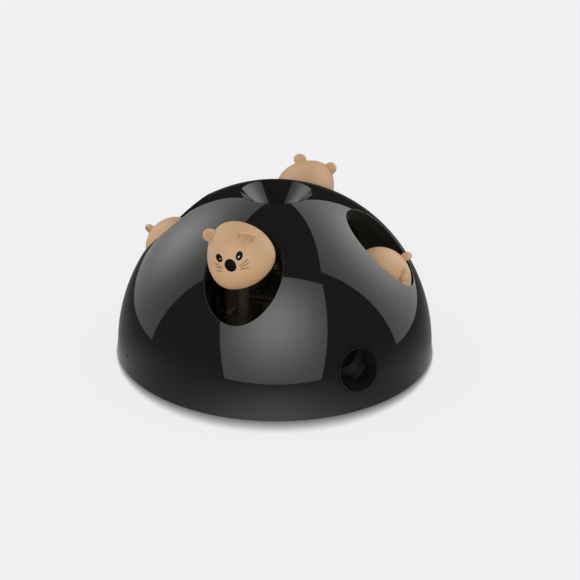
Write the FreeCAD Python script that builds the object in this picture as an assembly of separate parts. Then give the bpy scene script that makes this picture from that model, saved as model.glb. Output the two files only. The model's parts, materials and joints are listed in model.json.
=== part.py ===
import FreeCAD
import Part

import math
import os

from FreeCAD import Vector

# A dome for a cat to hunt on. Four mouse heads rise and sink in four holes, opposite heads together.
# A two-lobed groove cam lifts them, a small motor turns the cam through gears, and a disc on the cam's
# shaft doses dry treats into a chute. Millimetres, +Z up, origin on the axis at the floor.
# An azimuth is counted from -Y, the front, towards +X. A piece is drawn along +X and then turned to it.

# Dome
BASE_RADIUS = 122.5
DOME_RISE = 127.6
DOME_WALL = 2.5
FOOT_GAP = 0.5
CREST_RADIUS = 27.1
CREST_ROUND = 1.6
DISH_SLOPE = 46.0
DISH_HOLE_RADIUS = 10.5
DISH_HOLE_ROUND = 0.8

# Head holes
FRONT_AZIMUTH = -16.0
HOLE_DISTANCE = 81.2
HOLE_RADIUS = 27.5
HOLE_LEAN = 4.3
HOLE_LIP_WALL = 2.0
HOLE_LIP_DEPTH = 7.5
HOLE_ROUND = 0.5

# Stroke of the heads
HEAD_HIGH = 104.0
HEAD_LOW = 66.0
STROKE = HEAD_HIGH - HEAD_LOW

# Mouse head
HEAD_GAP = 4.2
HEAD_RADIUS = HOLE_RADIUS - HEAD_GAP
HEAD_WALL = 4.4
HEAD_LEAN = 15.0
NECK_RADIUS = 6.5
NECK_TOP = -6.0
STEM_TOP = -8.0
EAR_RADIUS = 5.0
EAR_THICKNESS = 3.0
EAR_LIFT = 1.7
EAR_DISTANCE = HEAD_RADIUS + EAR_LIFT
EAR_SPREAD = 40.6
EAR_RISE = 63.0
EYE_SPREAD = 19.5
EYE_RISE = 15.0
EYE_RADIUS = 2.7
EYE_INSET = 1.6
NOSE_RADIUS = 4.0
NOSE_INSET = 1.8

# Base plate
PLATE_BOTTOM = 1.6
PLATE_WALL = 2.5
PLATE_TOP = PLATE_BOTTOM + PLATE_WALL
PLATE_GAP = 0.3
FOOT_RADIUS = 6.0
FOOT_DISTANCE = 105.0
FOOT_RECESS = 0.6

# Case screws
SCREW_DISTANCE = 106.0
SCREW_TURN = -22.0
BOSS_RADIUS = 4.5
SCREW_RADIUS = 1.3
SCREW_HEAD_RADIUS = 2.6
SCREW_HEAD_HEIGHT = 1.0
SCREW_LENGTH = 10.0
SCREW_CLEARANCE = 0.2

# Cam
SHAFT_RADIUS = 3.0
DRUM_RADIUS = 38.0
DRUM_BOTTOM = 9.0
DRUM_TOP = 57.0
DRUM_WALL = 3.0
DRUM_HUB_RADIUS = 6.5
GROOVE_DEPTH = 4.5
PEG_LOW = 14.0
PEG_HIGH = PEG_LOW + STROKE
PEG_RADIUS = 2.5
PEG_CLEARANCE = 0.12
GROOVE_STEPS = 18
BUSH_WALL = 2.0
RUNNING_CLEARANCE = 0.05

# Guide rods and their frame
ROD_RADIUS = 2.0
ROD_DISTANCE = 47.0
ROD_SPACING = 19.0
ROD_CLEARANCE = 0.08
ROD_SOCKET_WALL = 2.0
ROD_SOCKET_TOP = 7.6
FRAME_BOTTOM = 59.0
FRAME_WALL = 3.0
FRAME_HUB_RADIUS = 10.0
FRAME_HUB_HEIGHT = 5.0
FRAME_ARM_WIDTH = 8.0

# Carriages
BLOCK_HALF_HEIGHT = 5.5
BLOCK_HALF_WIDTH = 13.5
BLOCK_INNER = 42.5
BLOCK_OUTER = 51.5
ARM_WIDTH = 10.0
ARM_HEIGHT = 8.0
STEM_RADIUS = 4.0
STEM_FOOT_RADIUS = 6.0
PEG_SEAT = 3.5
GUSSET_WALL = 3.0
GUSSET_HEIGHT = 14.0

# Gear train, from the cam to the motor
PRESSURE_ANGLE = 25.0
TOOTH_SHARE = 0.44
MOTOR_AZIMUTH = FRONT_AZIMUTH + 135.0
CAM_TEETH = 60
IDLER_TEETH = 20
PINION_TEETH = 12
WHEEL_TEETH = 36
OUTPUT_MODULE = 1.2
THIRD_MODULE = 0.8
SECOND_MODULE = 0.6
FIRST_MODULE = 0.5
OUTPUT_LEVEL = 5.3
OUTPUT_FACE = 3.3
LEVEL_GAP = 0.4
WHEEL_FACE = 2.0
AXLE_RADIUS = 1.0
AXLE_POST_RADIUS = 2.2
SECOND_TURN = 40.0
FIRST_TURN = -60.0
MOTOR_TURN = -120.0

# Gearbox cover and motor
COVER_WALL = 1.4
COVER_CLEARANCE = 1.0
COVER_PLATE = 1.6
MOTOR_RADIUS = 10.0
MOTOR_FLAT = 7.75
MOTOR_LENGTH = 24.0
MOTOR_CAP_LENGTH = 3.2
MOTOR_COLLAR_HEIGHT = 6.0
MOTOR_COLLAR_WALL = 1.6
MOTOR_SHAFT_RADIUS = 1.0
MOTOR_SHAFT_LENGTH = 18.0
TERMINAL_OUT = 5.0
TERMINAL_SIDE = 4.5

# Hopper and dosing disc
HOPPER_RADIUS = 27.5
HOPPER_WALL = 1.5
HOPPER_BOTTOM = 94.3
HOPPER_FLOOR = 1.7
HOPPER_TOP = 104.0
HOPPER_POST_DISTANCE = 33.0
HOPPER_POST_RADIUS = 3.2
HOPPER_EAR_WALL = 2.4
DISC_WALL = 4.4
DISC_CLEARANCE = 0.5
POCKET_RADIUS = 8.0
POCKET_COUNT = 3
OUTLET_DISTANCE = 15.0
OUTLET_RADIUS = 8.5
BAFFLE_WALL = 1.2
BAFFLE_SWEEP = 104.0

# Treat chute and its exit
CHUTE_AZIMUTH = FRONT_AZIMUTH + 45.5
CHUTE_RADIUS = 11.2
CHUTE_WALL = 1.4
CHUTE_BACK = 4.6
CHUTE_GAP = 1.44
CHUTE_FALL = 0.61458
CHUTE_TOP_DISTANCE = 16.0
CHUTE_END_DISTANCE = 112.0
EXIT_RISE = 2.0
EXIT_FLARE = 3.7
EXIT_RADIUS = CHUTE_RADIUS + EXIT_FLARE
EXIT_WALL = 1.5
EXIT_BACK = 98.0
EXIT_PROUD = 0.6
EXIT_CLEARANCE = 0.1

# Battery compartment
BATTERY_AZIMUTH = FRONT_AZIMUTH + 225.0
DOOR_WALL = 2.0
DOOR_CLEARANCE = 0.3
DOOR_LATCH_WIDTH = 14.0
DOOR_LATCH_LENGTH = 4.0
CELL_COUNT = 3
CELL_RADIUS = 7.2
CELL_LENGTH = 49.3
CELL_NUB_RADIUS = 2.7
CELL_NUB_LENGTH = 1.2
CELL_GAP = 0.9
CELL_PITCH = 2 * CELL_RADIUS + CELL_GAP
CELL_LIFT = 0.8
CELL_CENTRE = PLATE_BOTTOM + DOOR_WALL + CELL_LIFT + CELL_RADIUS
CELL_HEADROOM = 1.2
BOX_INNER = 52.0
BOX_WALL = 1.5
CONTACT_WALL = 0.5
CONTACT_HALF = 4.5
CELL_END_GAP = 1.2
BOX_TOP = CELL_CENTRE + CELL_RADIUS + CELL_HEADROOM + BOX_WALL

# Circuit board, lens and switch
BOARD_AZIMUTH = FRONT_AZIMUTH + 315.0
BOARD_INNER = 64.0
BOARD_OUTER = 98.0
BOARD_WIDTH = 40.0
BOARD_BOTTOM = 9.0
BOARD_WALL = 1.6
BOARD_POST_RADIUS = 2.6
BOARD_POST_INSET = 3.6
BOARD_POST_SPREAD = 14.0
BOARD_SCREW_RADIUS = 1.0
BOARD_SCREW_HEAD_RADIUS = 2.0
PLUG_HEIGHT = 4.6
MOTOR_PLUG_DISTANCE = 85.0
LENS_AZIMUTH = -63.8
LENS_HEIGHT = 14.6
LENS_RADIUS = 1.5
LENS_INNER = 107.0
LENS_RECESS = 0.4
SWITCH_AZIMUTH = FRONT_AZIMUTH + 290.0
SWITCH_DISTANCE = 88.0
SWITCH_TRAVEL = 4.0
KNOB_LENGTH = 3.0
KNOB_WIDTH = 3.0
KNOB_BOTTOM = 0.9
SWITCH_HEIGHT = 5.5

# Leads
LEAD_RADIUS = 0.7
LEAD_GAP = 1.7
BATTERY_LEAD_DISTANCE = 97.3
BATTERY_LEAD_HEIGHT = 12.6
MOTOR_LEAD_DISTANCE = 94.5
MOTOR_LEAD_HEIGHT = 8.0
MOTOR_LEAD_RISER = (13.6, -4.0)
MOTOR_LEAD_START = BOARD_AZIMUTH - 333.0
MOTOR_LEAD_STEP = 16.0
MOTOR_LEAD_CLIPS = (1, 4, 6)
BATTERY_LEAD_CLIP = 257.0
LEAD_BEND_SHARE = 0.45
LEAD_END_TURN = 0.14

AXIS = Vector(0, 0, 1)
HOLE_AZIMUTHS = {
    "front": FRONT_AZIMUTH,
    "right": FRONT_AZIMUTH + 90.0,
    "back": FRONT_AZIMUTH + 180.0,
    "left": FRONT_AZIMUTH + 270.0,
}
HIGH_HEADS = ("front", "back")


# Small helpers


def disc(radius, low, high, x=0.0, y=0.0):
    """An upright cylinder between two heights."""
    return Part.makeCylinder(radius, high - low, Vector(x, y, low))


def ring(outer, inner, low, high, x=0.0, y=0.0):
    """An upright tube between two heights."""
    return disc(outer, low, high, x, y).cut(disc(inner, low - 1, high + 1, x, y))


def block(x_range, y_range, z_range):
    """A box given by its limits along each axis."""
    corner = Vector(x_range[0], y_range[0], z_range[0])
    size = [limits[1] - limits[0] for limits in (x_range, y_range, z_range)]
    return Part.makeBox(*size, corner)


def rod_between(radius, start, end):
    """A round bar from one point to another."""
    along = end - start
    return Part.makeCylinder(radius, along.Length, start, along)


def turned(shape, azimuth):
    """A copy of a piece drawn along +X, turned to its azimuth."""
    copy = shape.copy()
    copy.rotate(Vector(0, 0, 0), AXIS, azimuth - 90.0)
    return copy


def moved(shape, x=0.0, y=0.0, z=0.0):
    """A shifted copy."""
    copy = shape.copy()
    copy.translate(Vector(x, y, z))
    return copy


def spot(distance, azimuth, height=0.0):
    """The point at a distance from the axis, an azimuth and a height."""
    angle = math.radians(azimuth)
    return Vector(distance * math.sin(angle), -distance * math.cos(angle), height)


def joined(shapes):
    """One solid from overlapping solids, with seams between flush faces removed."""
    first, *rest = shapes
    return (first.fuse(rest) if rest else first).removeSplitter()


def group(shapes):
    """Several separate solids kept together."""
    return Part.makeCompound(shapes)


def save(name, shape):
    """Write one piece, after a check that it is sound."""
    if not shape.isValid():
        raise ValueError(f"{name} is not a valid solid")
    shape.exportStep(f"parts/{name}.step")
    print(f"{name}: {len(shape.Solids)} solids, {shape.Volume / 1000:.2f} cm3")


# Dome


def dome_radius(height, inset=0.0):
    """Radius of the dome's ellipse at a height, inset from the outer surface."""
    share = height / (DOME_RISE - inset)
    return (BASE_RADIUS - inset) * math.sqrt(1 - share * share)


def dome_height(radius, inset=0.0):
    """Height of the dome's ellipse at a radius."""
    share = radius / (BASE_RADIUS - inset)
    return (DOME_RISE - inset) * math.sqrt(1 - share * share)


def dome_arc(inset, low_radius_angle, high_radius_angle):
    """Part of the dome's profile, with angles from its top."""
    top = Vector(0, 0, DOME_RISE - inset)
    side = Vector(BASE_RADIUS - inset, 0, 0)
    if top.Length >= side.Length:
        ellipse = Part.Ellipse(top, side, Vector(0, 0, 0))
        return Part.ArcOfEllipse(ellipse, low_radius_angle, high_radius_angle).toShape()
    ellipse = Part.Ellipse(side, top, Vector(0, 0, 0))
    quarter = math.pi / 2
    return Part.ArcOfEllipse(ellipse, quarter - high_radius_angle, quarter - low_radius_angle).toShape()


def dome_body(inset):
    """The full solid under the dome's ellipse, cut flat at the foot."""
    foot = math.acos(FOOT_GAP / (DOME_RISE - inset))
    arc = dome_arc(inset, 0.0, foot)
    top, rim = Vector(0, 0, DOME_RISE - inset), Vector(dome_radius(FOOT_GAP, inset), 0, FOOT_GAP)
    centre = Vector(0, 0, FOOT_GAP)
    face = Part.Face(Part.Wire([arc, Part.makeLine(rim, centre), Part.makeLine(centre, top)]))
    return face.revolve(Vector(0, 0, 0), AXIS, 360)


def dish_height(radius):
    """Height of the dish's cone at a radius."""
    drop = (CREST_RADIUS - radius) * math.tan(math.radians(DISH_SLOPE))
    return dome_height(CREST_RADIUS) - drop


def make_shell_of_revolution():
    """Dome and dish in one wall, before any hole is cut."""
    wall_drop = DOME_WALL / math.cos(math.radians(DISH_SLOPE))
    slope = math.tan(math.radians(DISH_SLOPE))
    inner_crest = CREST_RADIUS
    for _ in range(40):
        gap = dome_height(inner_crest, DOME_WALL) - (dish_height(inner_crest) - wall_drop)
        inner_crest += gap / (2 * slope)
    outer_foot = math.acos(FOOT_GAP / DOME_RISE)
    inner_foot = math.acos(FOOT_GAP / (DOME_RISE - DOME_WALL))
    outer_top = math.asin(CREST_RADIUS / BASE_RADIUS)
    inner_top = math.asin(inner_crest / (BASE_RADIUS - DOME_WALL))
    crest = Vector(CREST_RADIUS, 0, dome_height(CREST_RADIUS))
    hole_high = Vector(DISH_HOLE_RADIUS, 0, dish_height(DISH_HOLE_RADIUS))
    hole_low = hole_high - Vector(0, 0, wall_drop)
    under_crest = Vector(inner_crest, 0, dome_height(inner_crest, DOME_WALL))
    outer_rim = Vector(dome_radius(FOOT_GAP), 0, FOOT_GAP)
    inner_rim = Vector(dome_radius(FOOT_GAP, DOME_WALL), 0, FOOT_GAP)
    edges = [
        dome_arc(0.0, outer_top, outer_foot),
        Part.makeLine(crest, hole_high),
        Part.makeLine(hole_high, hole_low),
        Part.makeLine(hole_low, under_crest),
        dome_arc(DOME_WALL, inner_top, inner_foot),
        Part.makeLine(inner_rim, outer_rim),
    ]
    wire = Part.Wire(Part.__sortEdges__(edges))
    shell = Part.Face(wire).revolve(Vector(0, 0, 0), AXIS, 360)
    return round_circles(shell, [(crest, CREST_ROUND), (hole_high, DISH_HOLE_ROUND)])


def round_circles(shape, rounds):
    """Round the full circles that pass through the given profile points."""
    for point, radius in rounds:
        for edge in shape.Edges:
            curve = edge.Curve
            if isinstance(curve, Part.Circle) and abs(curve.Radius - point.x) < 1e-4:
                if abs(curve.Center.z - point.z) < 1e-4:
                    shape = shape.makeFillet(radius, [edge])
                    break
    return shape


def head_bore(radius):
    """A cylinder that leans outwards about the raised head's middle, for one head hole."""
    tilt = Vector(math.sin(math.radians(HOLE_LEAN)), 0, math.cos(math.radians(HOLE_LEAN)))
    middle = Vector(HOLE_DISTANCE, 0, HEAD_HIGH)
    return rod_between(radius, middle - tilt * (middle.z - PLATE_TOP), middle + tilt * (DOME_RISE - middle.z + 5))


def make_dome_shell():
    """The cover: head holes with lips, treat exit, lens hole, screw bosses and hopper posts."""
    shell = make_shell_of_revolution()
    mid_wall = dome_body(DOME_WALL / 2)
    additions, holes = [], []
    lip = head_bore(HOLE_RADIUS + HOLE_LIP_WALL).common(mid_wall).cut(dome_body(HOLE_LIP_DEPTH))
    for azimuth in HOLE_AZIMUTHS.values():
        additions.append(turned(lip, azimuth))
        holes.append(turned(head_bore(HOLE_RADIUS), azimuth))
        boss = disc(BOSS_RADIUS, PLATE_TOP, DOME_RISE, SCREW_DISTANCE).common(mid_wall)
        pilot = disc(SCREW_RADIUS, PLATE_TOP - 1, PLATE_TOP + SCREW_LENGTH, SCREW_DISTANCE)
        additions.append(turned(boss.cut(pilot), azimuth + SCREW_TURN))
    for azimuth in hopper_azimuths():
        post = disc(HOPPER_POST_RADIUS, HOPPER_TOP, DOME_RISE, HOPPER_POST_DISTANCE).common(mid_wall)
        pilot = disc(SCREW_RADIUS, HOPPER_TOP - 1, HOPPER_TOP + 6, HOPPER_POST_DISTANCE)
        additions.append(turned(post.cut(pilot), azimuth))
    shell = shell.fuse(additions)
    exit_bore = rod_between(
        EXIT_RADIUS + EXIT_WALL + EXIT_CLEARANCE,
        Vector(EXIT_BACK, 0, exit_height()),
        Vector(BASE_RADIUS + 5, 0, exit_height()),
    )
    lens_bore = rod_between(
        LENS_RADIUS + RUNNING_CLEARANCE,
        Vector(LENS_INNER, 0, LENS_HEIGHT),
        Vector(BASE_RADIUS + 5, 0, LENS_HEIGHT),
    )
    holes += [turned(exit_bore, CHUTE_AZIMUTH), turned(lens_bore, LENS_AZIMUTH)]
    return round_hole_edges(shell.cut(holes).removeSplitter())


def round_hole_edges(shell):
    """Soften the outer edge of each head hole and of the treat exit, one at a time."""
    marks = [spot(HOLE_DISTANCE, azimuth) for azimuth in HOLE_AZIMUTHS.values()]
    marks.append(spot(BASE_RADIUS, CHUTE_AZIMUTH))
    for mark in marks:
        wanted = []
        for edge in shell.Edges:
            if isinstance(edge.Curve, (Part.Circle, Part.Line, Part.Ellipse)):
                continue
            middle = edge.valueAt(sum(edge.ParameterRange) / 2)
            radius = math.hypot(middle.x, middle.y)
            on_surface = abs(radius - dome_radius(min(middle.z, DOME_RISE))) < 0.02
            nearby = math.hypot(middle.x - mark.x, middle.y - mark.y) < HOLE_RADIUS + HOLE_ROUND + 2
            if on_surface and nearby:
                wanted.append(edge)
        shell = shell.makeFillet(HOLE_ROUND, wanted)
    return shell


# Base plate


def make_base_plate():
    """The floor of the case, with every socket, post and opening."""
    radius = dome_radius(PLATE_TOP, DOME_WALL) - PLATE_GAP
    solids = [disc(radius, PLATE_BOTTOM, PLATE_TOP)]
    cuts = []
    solids.append(disc(SHAFT_RADIUS + BUSH_WALL + 2.5, PLATE_TOP - 1, OUTPUT_LEVEL - 0.4))
    bush_bottom = PLATE_BOTTOM + 1.0
    cuts.append(disc(SHAFT_RADIUS + BUSH_WALL, bush_bottom, OUTPUT_LEVEL))
    for azimuth in HOLE_AZIMUTHS.values():
        for side in (-ROD_SPACING / 2, ROD_SPACING / 2):
            socket = disc(ROD_RADIUS + ROD_SOCKET_WALL, PLATE_TOP - 1, ROD_SOCKET_TOP, ROD_DISTANCE, side)
            solids.append(turned(socket, azimuth))
            cuts.append(turned(disc(ROD_RADIUS, bush_bottom, DRUM_TOP, ROD_DISTANCE, side), azimuth))
        foot_seat = disc(FOOT_RADIUS, PLATE_BOTTOM - 1, PLATE_BOTTOM + FOOT_RECESS, FOOT_DISTANCE)
        cuts.append(turned(foot_seat, azimuth))
        bore = disc(SCREW_RADIUS + SCREW_CLEARANCE, 0, DRUM_TOP, SCREW_DISTANCE)
        seat = disc(SCREW_HEAD_RADIUS + SCREW_CLEARANCE, 0, PLATE_BOTTOM + SCREW_HEAD_HEIGHT, SCREW_DISTANCE)
        cuts += [turned(bore, azimuth + SCREW_TURN), turned(seat, azimuth + SCREW_TURN)]
    for x, y, _, low, _ in gear_axles():
        post = disc(AXLE_POST_RADIUS, PLATE_TOP - 1, low - LEVEL_GAP / 2, x, y)
        solids.append(turned(post, MOTOR_AZIMUTH))
        cuts.append(turned(disc(AXLE_RADIUS, PLATE_TOP - 1.2, low + 1, x, y), MOTOR_AZIMUTH))
    for x, y in board_corners():
        post = disc(BOARD_POST_RADIUS, PLATE_TOP - 1, BOARD_BOTTOM, x, y)
        solids.append(turned(post, BOARD_AZIMUTH))
        cuts.append(turned(disc(BOARD_SCREW_RADIUS, PLATE_TOP, BOARD_BOTTOM + 1, x, y), BOARD_AZIMUTH))
    saddle_radius = EXIT_RADIUS + EXIT_WALL
    saddle_top = exit_height() - saddle_radius + 3
    saddle = block((EXIT_BACK + 3, EXIT_BACK + 9), (-7, 7), (PLATE_TOP - 1, saddle_top))
    collar_start = Vector(EXIT_BACK - 5, 0, exit_height())
    collar = rod_between(saddle_radius, collar_start, Vector(BASE_RADIUS, 0, exit_height()))
    solids.append(turned(saddle.cut(collar), CHUTE_AZIMUTH))
    solids += lead_clips()
    cuts.append(turned(door_opening(), BATTERY_AZIMUTH))
    slot_half = (SWITCH_TRAVEL + KNOB_LENGTH) / 2 + 0.5
    slot = block(
        (SWITCH_DISTANCE - KNOB_WIDTH / 2 - 0.3, SWITCH_DISTANCE + KNOB_WIDTH / 2 + 0.3),
        (-slot_half, slot_half),
        (PLATE_BOTTOM - 1, PLATE_TOP + 1),
    )
    cuts.append(turned(slot, SWITCH_AZIMUTH))
    return joined([solids[0].fuse(solids[1:]).cut(cuts)])


def lead_clip(distance, height):
    """A post with a channel in its top for a pair of leads, drawn along +X."""
    post = block((distance - 3.0, distance + 3.0), (-1.5, 1.5), (PLATE_TOP - 1, height + 1.0))
    half = LEAD_GAP / 2 + LEAD_RADIUS
    channel = block((distance - half, distance + half), (-2, 2), (height - LEAD_RADIUS, height + 2))
    return post.cut(channel)


def lead_clips():
    """The clips that hold both pairs of leads off the plate."""
    half_step = MOTOR_LEAD_STEP / 2
    distance = (MOTOR_LEAD_DISTANCE - LEAD_GAP / 2) * math.cos(math.radians(half_step))
    clips = [
        turned(lead_clip(distance, MOTOR_LEAD_HEIGHT), MOTOR_LEAD_START + half_step + index * MOTOR_LEAD_STEP)
        for index in MOTOR_LEAD_CLIPS
    ]
    battery_distance = BATTERY_LEAD_DISTANCE - LEAD_GAP / 2
    clips.append(turned(lead_clip(battery_distance, BATTERY_LEAD_HEIGHT), BATTERY_LEAD_CLIP))
    return clips


def make_rubber_feet():
    """Four pads that carry the toy."""
    pad = disc(FOOT_RADIUS, 0, PLATE_BOTTOM + FOOT_RECESS, FOOT_DISTANCE)
    rim = [edge for edge in pad.Edges if abs(edge.BoundBox.ZMax) < 1e-6]
    pad = pad.makeFillet(0.4, rim)
    return group([turned(pad, azimuth) for azimuth in HOLE_AZIMUTHS.values()])


def screw(x, y, seat, up_length, radius, head_radius, head_height):
    """A cross-head screw whose head faces down, with its head's top at the seat height."""
    head = disc(head_radius, seat - head_height, seat, x, y)
    arm, depth = head_radius * 0.6, head_height * 0.5
    low = seat - head_height
    cross = [
        block((x - arm, x + arm), (y - 0.3, y + 0.3), (low - 1, low + depth)),
        block((x - 0.3, x + 0.3), (y - arm, y + arm), (low - 1, low + depth)),
    ]
    return joined([head.fuse(disc(radius, seat, seat + up_length, x, y)).cut(cross)])


def make_case_screws():
    """Four screws up through the plate into the dome's bosses."""
    seat = PLATE_BOTTOM + SCREW_HEAD_HEIGHT
    head_height = SCREW_HEAD_HEIGHT * 0.9
    one = screw(SCREW_DISTANCE, 0, seat, SCREW_LENGTH, SCREW_RADIUS, SCREW_HEAD_RADIUS, head_height)
    return group([turned(one, azimuth + SCREW_TURN) for azimuth in HOLE_AZIMUTHS.values()])


# Cam


def groove_height(quarter_turns):
    """Height of the groove's line: high at the front and back heads, low at the other two."""
    return PEG_HIGH if quarter_turns % 2 == 0 else PEG_LOW


def groove_ramp(quarter):
    """The cutter for one quarter turn of groove, a straight ramp when unrolled."""
    floor, outside = DRUM_RADIUS - GROOVE_DEPTH, DRUM_RADIUS + 2.0
    rise_per_radian = STROKE / (math.pi / 2)
    half = (PEG_RADIUS + PEG_CLEARANCE) * math.hypot(1.0, rise_per_radian / floor)
    start, end = groove_height(quarter), groove_height(quarter + 1)

    def edge(radius, offset):
        points = []
        for step in range(GROOVE_STEPS + 1):
            share = step / GROOVE_STEPS
            azimuth = FRONT_AZIMUTH + 90.0 * (quarter + share)
            points.append(spot(radius, azimuth, start + (end - start) * share + offset))
        curve = Part.BSplineCurve()
        curve.interpolate(points)
        return curve.toShape()

    corners = [edge(floor, -half), edge(floor, half), edge(outside, half), edge(outside, -half)]
    faces = [Part.makeRuledSurface(a, b) for a, b in zip(corners, corners[1:] + corners[:1])]
    for which in (0, 1):
        points = [corner.valueAt(corner.ParameterRange[which]) for corner in corners]
        faces.append(Part.Face(Part.makePolygon(points + points[:1])))
    shell = Part.makeShell(faces)
    shell.sewShape()
    solid = Part.makeSolid(shell)
    if solid.Volume < 0:
        solid.reverse()
    return solid


def make_cam_drum():
    """The barrel cam with its endless zigzag groove."""
    drum = disc(DRUM_RADIUS, DRUM_BOTTOM, DRUM_TOP)
    wall_inner = DRUM_RADIUS - GROOVE_DEPTH - DRUM_WALL
    hollow = ring(wall_inner, DRUM_HUB_RADIUS, DRUM_BOTTOM - 1, DRUM_TOP - DRUM_WALL)
    bore = disc(SHAFT_RADIUS, DRUM_BOTTOM - 1, DRUM_TOP + 1)
    cutters = [groove_ramp(quarter) for quarter in range(4)]
    for quarter in range(4):
        tip = rod_between(
            PEG_RADIUS + PEG_CLEARANCE,
            Vector(DRUM_RADIUS - GROOVE_DEPTH, 0, groove_height(quarter)),
            Vector(DRUM_RADIUS + 2, 0, groove_height(quarter)),
        )
        cutters.append(turned(tip, FRONT_AZIMUTH + 90.0 * quarter))
    drum = drum.cut([hollow, bore])
    for cutter in cutters:
        drum = drum.cut(cutter)
    return drum


def make_cam_shaft():
    """The steel shaft from the lower bush up through the hopper."""
    top = HOPPER_BOTTOM + HOPPER_FLOOR + DISC_CLEARANCE + DISC_WALL
    return disc(SHAFT_RADIUS, PLATE_BOTTOM + 1.2, top)


def make_lower_bush():
    """The flanged bearing in the base plate."""
    bore = SHAFT_RADIUS + RUNNING_CLEARANCE
    sleeve = ring(SHAFT_RADIUS + BUSH_WALL, bore, PLATE_BOTTOM + 1.0, OUTPUT_LEVEL - 0.4)
    flange = ring(SHAFT_RADIUS + BUSH_WALL + 1.2, bore, OUTPUT_LEVEL - 0.4, OUTPUT_LEVEL - 0.15)
    return joined([sleeve, flange])


def make_upper_bush():
    """The flanged bearing in the frame's hub."""
    bore = SHAFT_RADIUS + RUNNING_CLEARANCE
    top = FRAME_BOTTOM + FRAME_HUB_HEIGHT
    sleeve = ring(SHAFT_RADIUS + BUSH_WALL, bore, FRAME_BOTTOM, top)
    return joined([sleeve, ring(SHAFT_RADIUS + BUSH_WALL + 1.5, bore, top, top + 1.0)])


# Guide rods, frame and carriages


def make_guide_rods():
    """Two steel rods for each carriage."""
    rods = []
    for azimuth in HOLE_AZIMUTHS.values():
        for side in (-ROD_SPACING / 2, ROD_SPACING / 2):
            rod_top = FRAME_BOTTOM + FRAME_WALL - 1.0
            rod = disc(ROD_RADIUS, PLATE_BOTTOM + 1.0, rod_top, ROD_DISTANCE, side)
            rods.append(turned(rod, azimuth))
    return group(rods)


def make_top_frame():
    """The cross that holds the rods' upper ends and the shaft's upper bearing."""
    top = FRAME_BOTTOM + FRAME_WALL
    half_bar = ROD_SPACING / 2 + ROD_RADIUS + ROD_SOCKET_WALL
    solids = [disc(FRAME_HUB_RADIUS, FRAME_BOTTOM, FRAME_BOTTOM + FRAME_HUB_HEIGHT)]
    cuts = [disc(SHAFT_RADIUS + BUSH_WALL, FRAME_BOTTOM - 1, top + FRAME_HUB_HEIGHT)]
    bar_reach = ROD_RADIUS + ROD_SOCKET_WALL
    for azimuth in HOLE_AZIMUTHS.values():
        arm = block((0, ROD_DISTANCE), (-FRAME_ARM_WIDTH / 2, FRAME_ARM_WIDTH / 2), (FRAME_BOTTOM, top))
        across = (ROD_DISTANCE - bar_reach, ROD_DISTANCE + bar_reach)
        bar = block(across, (-half_bar, half_bar), (FRAME_BOTTOM, top))
        rib = block((FRAME_HUB_RADIUS - 1, ROD_DISTANCE), (-1.2, 1.2), (top - 0.5, top + 1.8))
        solids += [turned(shape, azimuth) for shape in (arm, bar, rib)]
        for side in (-ROD_SPACING / 2, ROD_SPACING / 2):
            cuts.append(turned(disc(ROD_RADIUS, FRAME_BOTTOM - 1, top - 1.0, ROD_DISTANCE, side), azimuth))
    return joined([solids[0].fuse(solids[1:]).cut(cuts)])


def make_carriage(peg_height):
    """The sliding bracket under one head, drawn along +X."""
    low, high = peg_height - BLOCK_HALF_HEIGHT, peg_height + BLOCK_HALF_HEIGHT
    slider = block((BLOCK_INNER, BLOCK_OUTER), (-BLOCK_HALF_WIDTH, BLOCK_HALF_WIDTH), (low, high))
    arm_low, arm_high = peg_height - ARM_HEIGHT / 2, peg_height + ARM_HEIGHT / 2
    arm = block((BLOCK_OUTER - 1, HOLE_DISTANCE), (-ARM_WIDTH / 2, ARM_WIDTH / 2), (arm_low, arm_high))
    foot = disc(STEM_FOOT_RADIUS, arm_low, arm_high + 3, HOLE_DISTANCE)
    stem = disc(STEM_RADIUS, arm_low, stem_top(peg_height), HOLE_DISTANCE)
    gusset_face = Part.Face(
        Part.makePolygon(
            [
                Vector(BLOCK_OUTER + 2, -GUSSET_WALL / 2, arm_high - 0.5),
                Vector(HOLE_DISTANCE, -GUSSET_WALL / 2, arm_high - 0.5),
                Vector(HOLE_DISTANCE, -GUSSET_WALL / 2, arm_high + GUSSET_HEIGHT),
                Vector(BLOCK_OUTER + 2, -GUSSET_WALL / 2, arm_high - 0.5),
            ]
        )
    )
    gusset = gusset_face.extrude(Vector(0, GUSSET_WALL, 0))
    cuts = [
        disc(ROD_RADIUS + ROD_CLEARANCE, low - 1, high + 1, ROD_DISTANCE, side)
        for side in (-ROD_SPACING / 2, ROD_SPACING / 2)
    ]
    peg_end = Vector(BLOCK_INNER + PEG_SEAT, 0, peg_height)
    cuts.append(rod_between(PEG_RADIUS, Vector(0, 0, peg_height), peg_end))
    return joined([slider.fuse([arm, foot, stem, gusset]).cut(cuts)])


def make_follower_pin(peg_height):
    """The steel pin that runs in the cam's groove."""
    tip = DRUM_RADIUS - GROOVE_DEPTH + 0.6
    return rod_between(PEG_RADIUS, Vector(tip, 0, peg_height), Vector(BLOCK_INNER + PEG_SEAT, 0, peg_height))


# Mouse heads, drawn about their own centre with the face along +X


def head_centre(peg_height):
    """Height of the head's centre above a carriage whose pin is at this height."""
    return peg_height + HEAD_LOW - PEG_LOW


def stem_top(peg_height):
    """The stem ends in the socket inside the head."""
    return head_centre(peg_height) + STEM_TOP


def head_direction(rise, spread):
    """A unit vector from the head's centre: rise is in the middle plane, spread to the side."""
    up, side = math.radians(rise), math.radians(spread)
    return Vector(math.cos(side) * math.cos(up), math.sin(side), math.cos(side) * math.sin(up))


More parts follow.
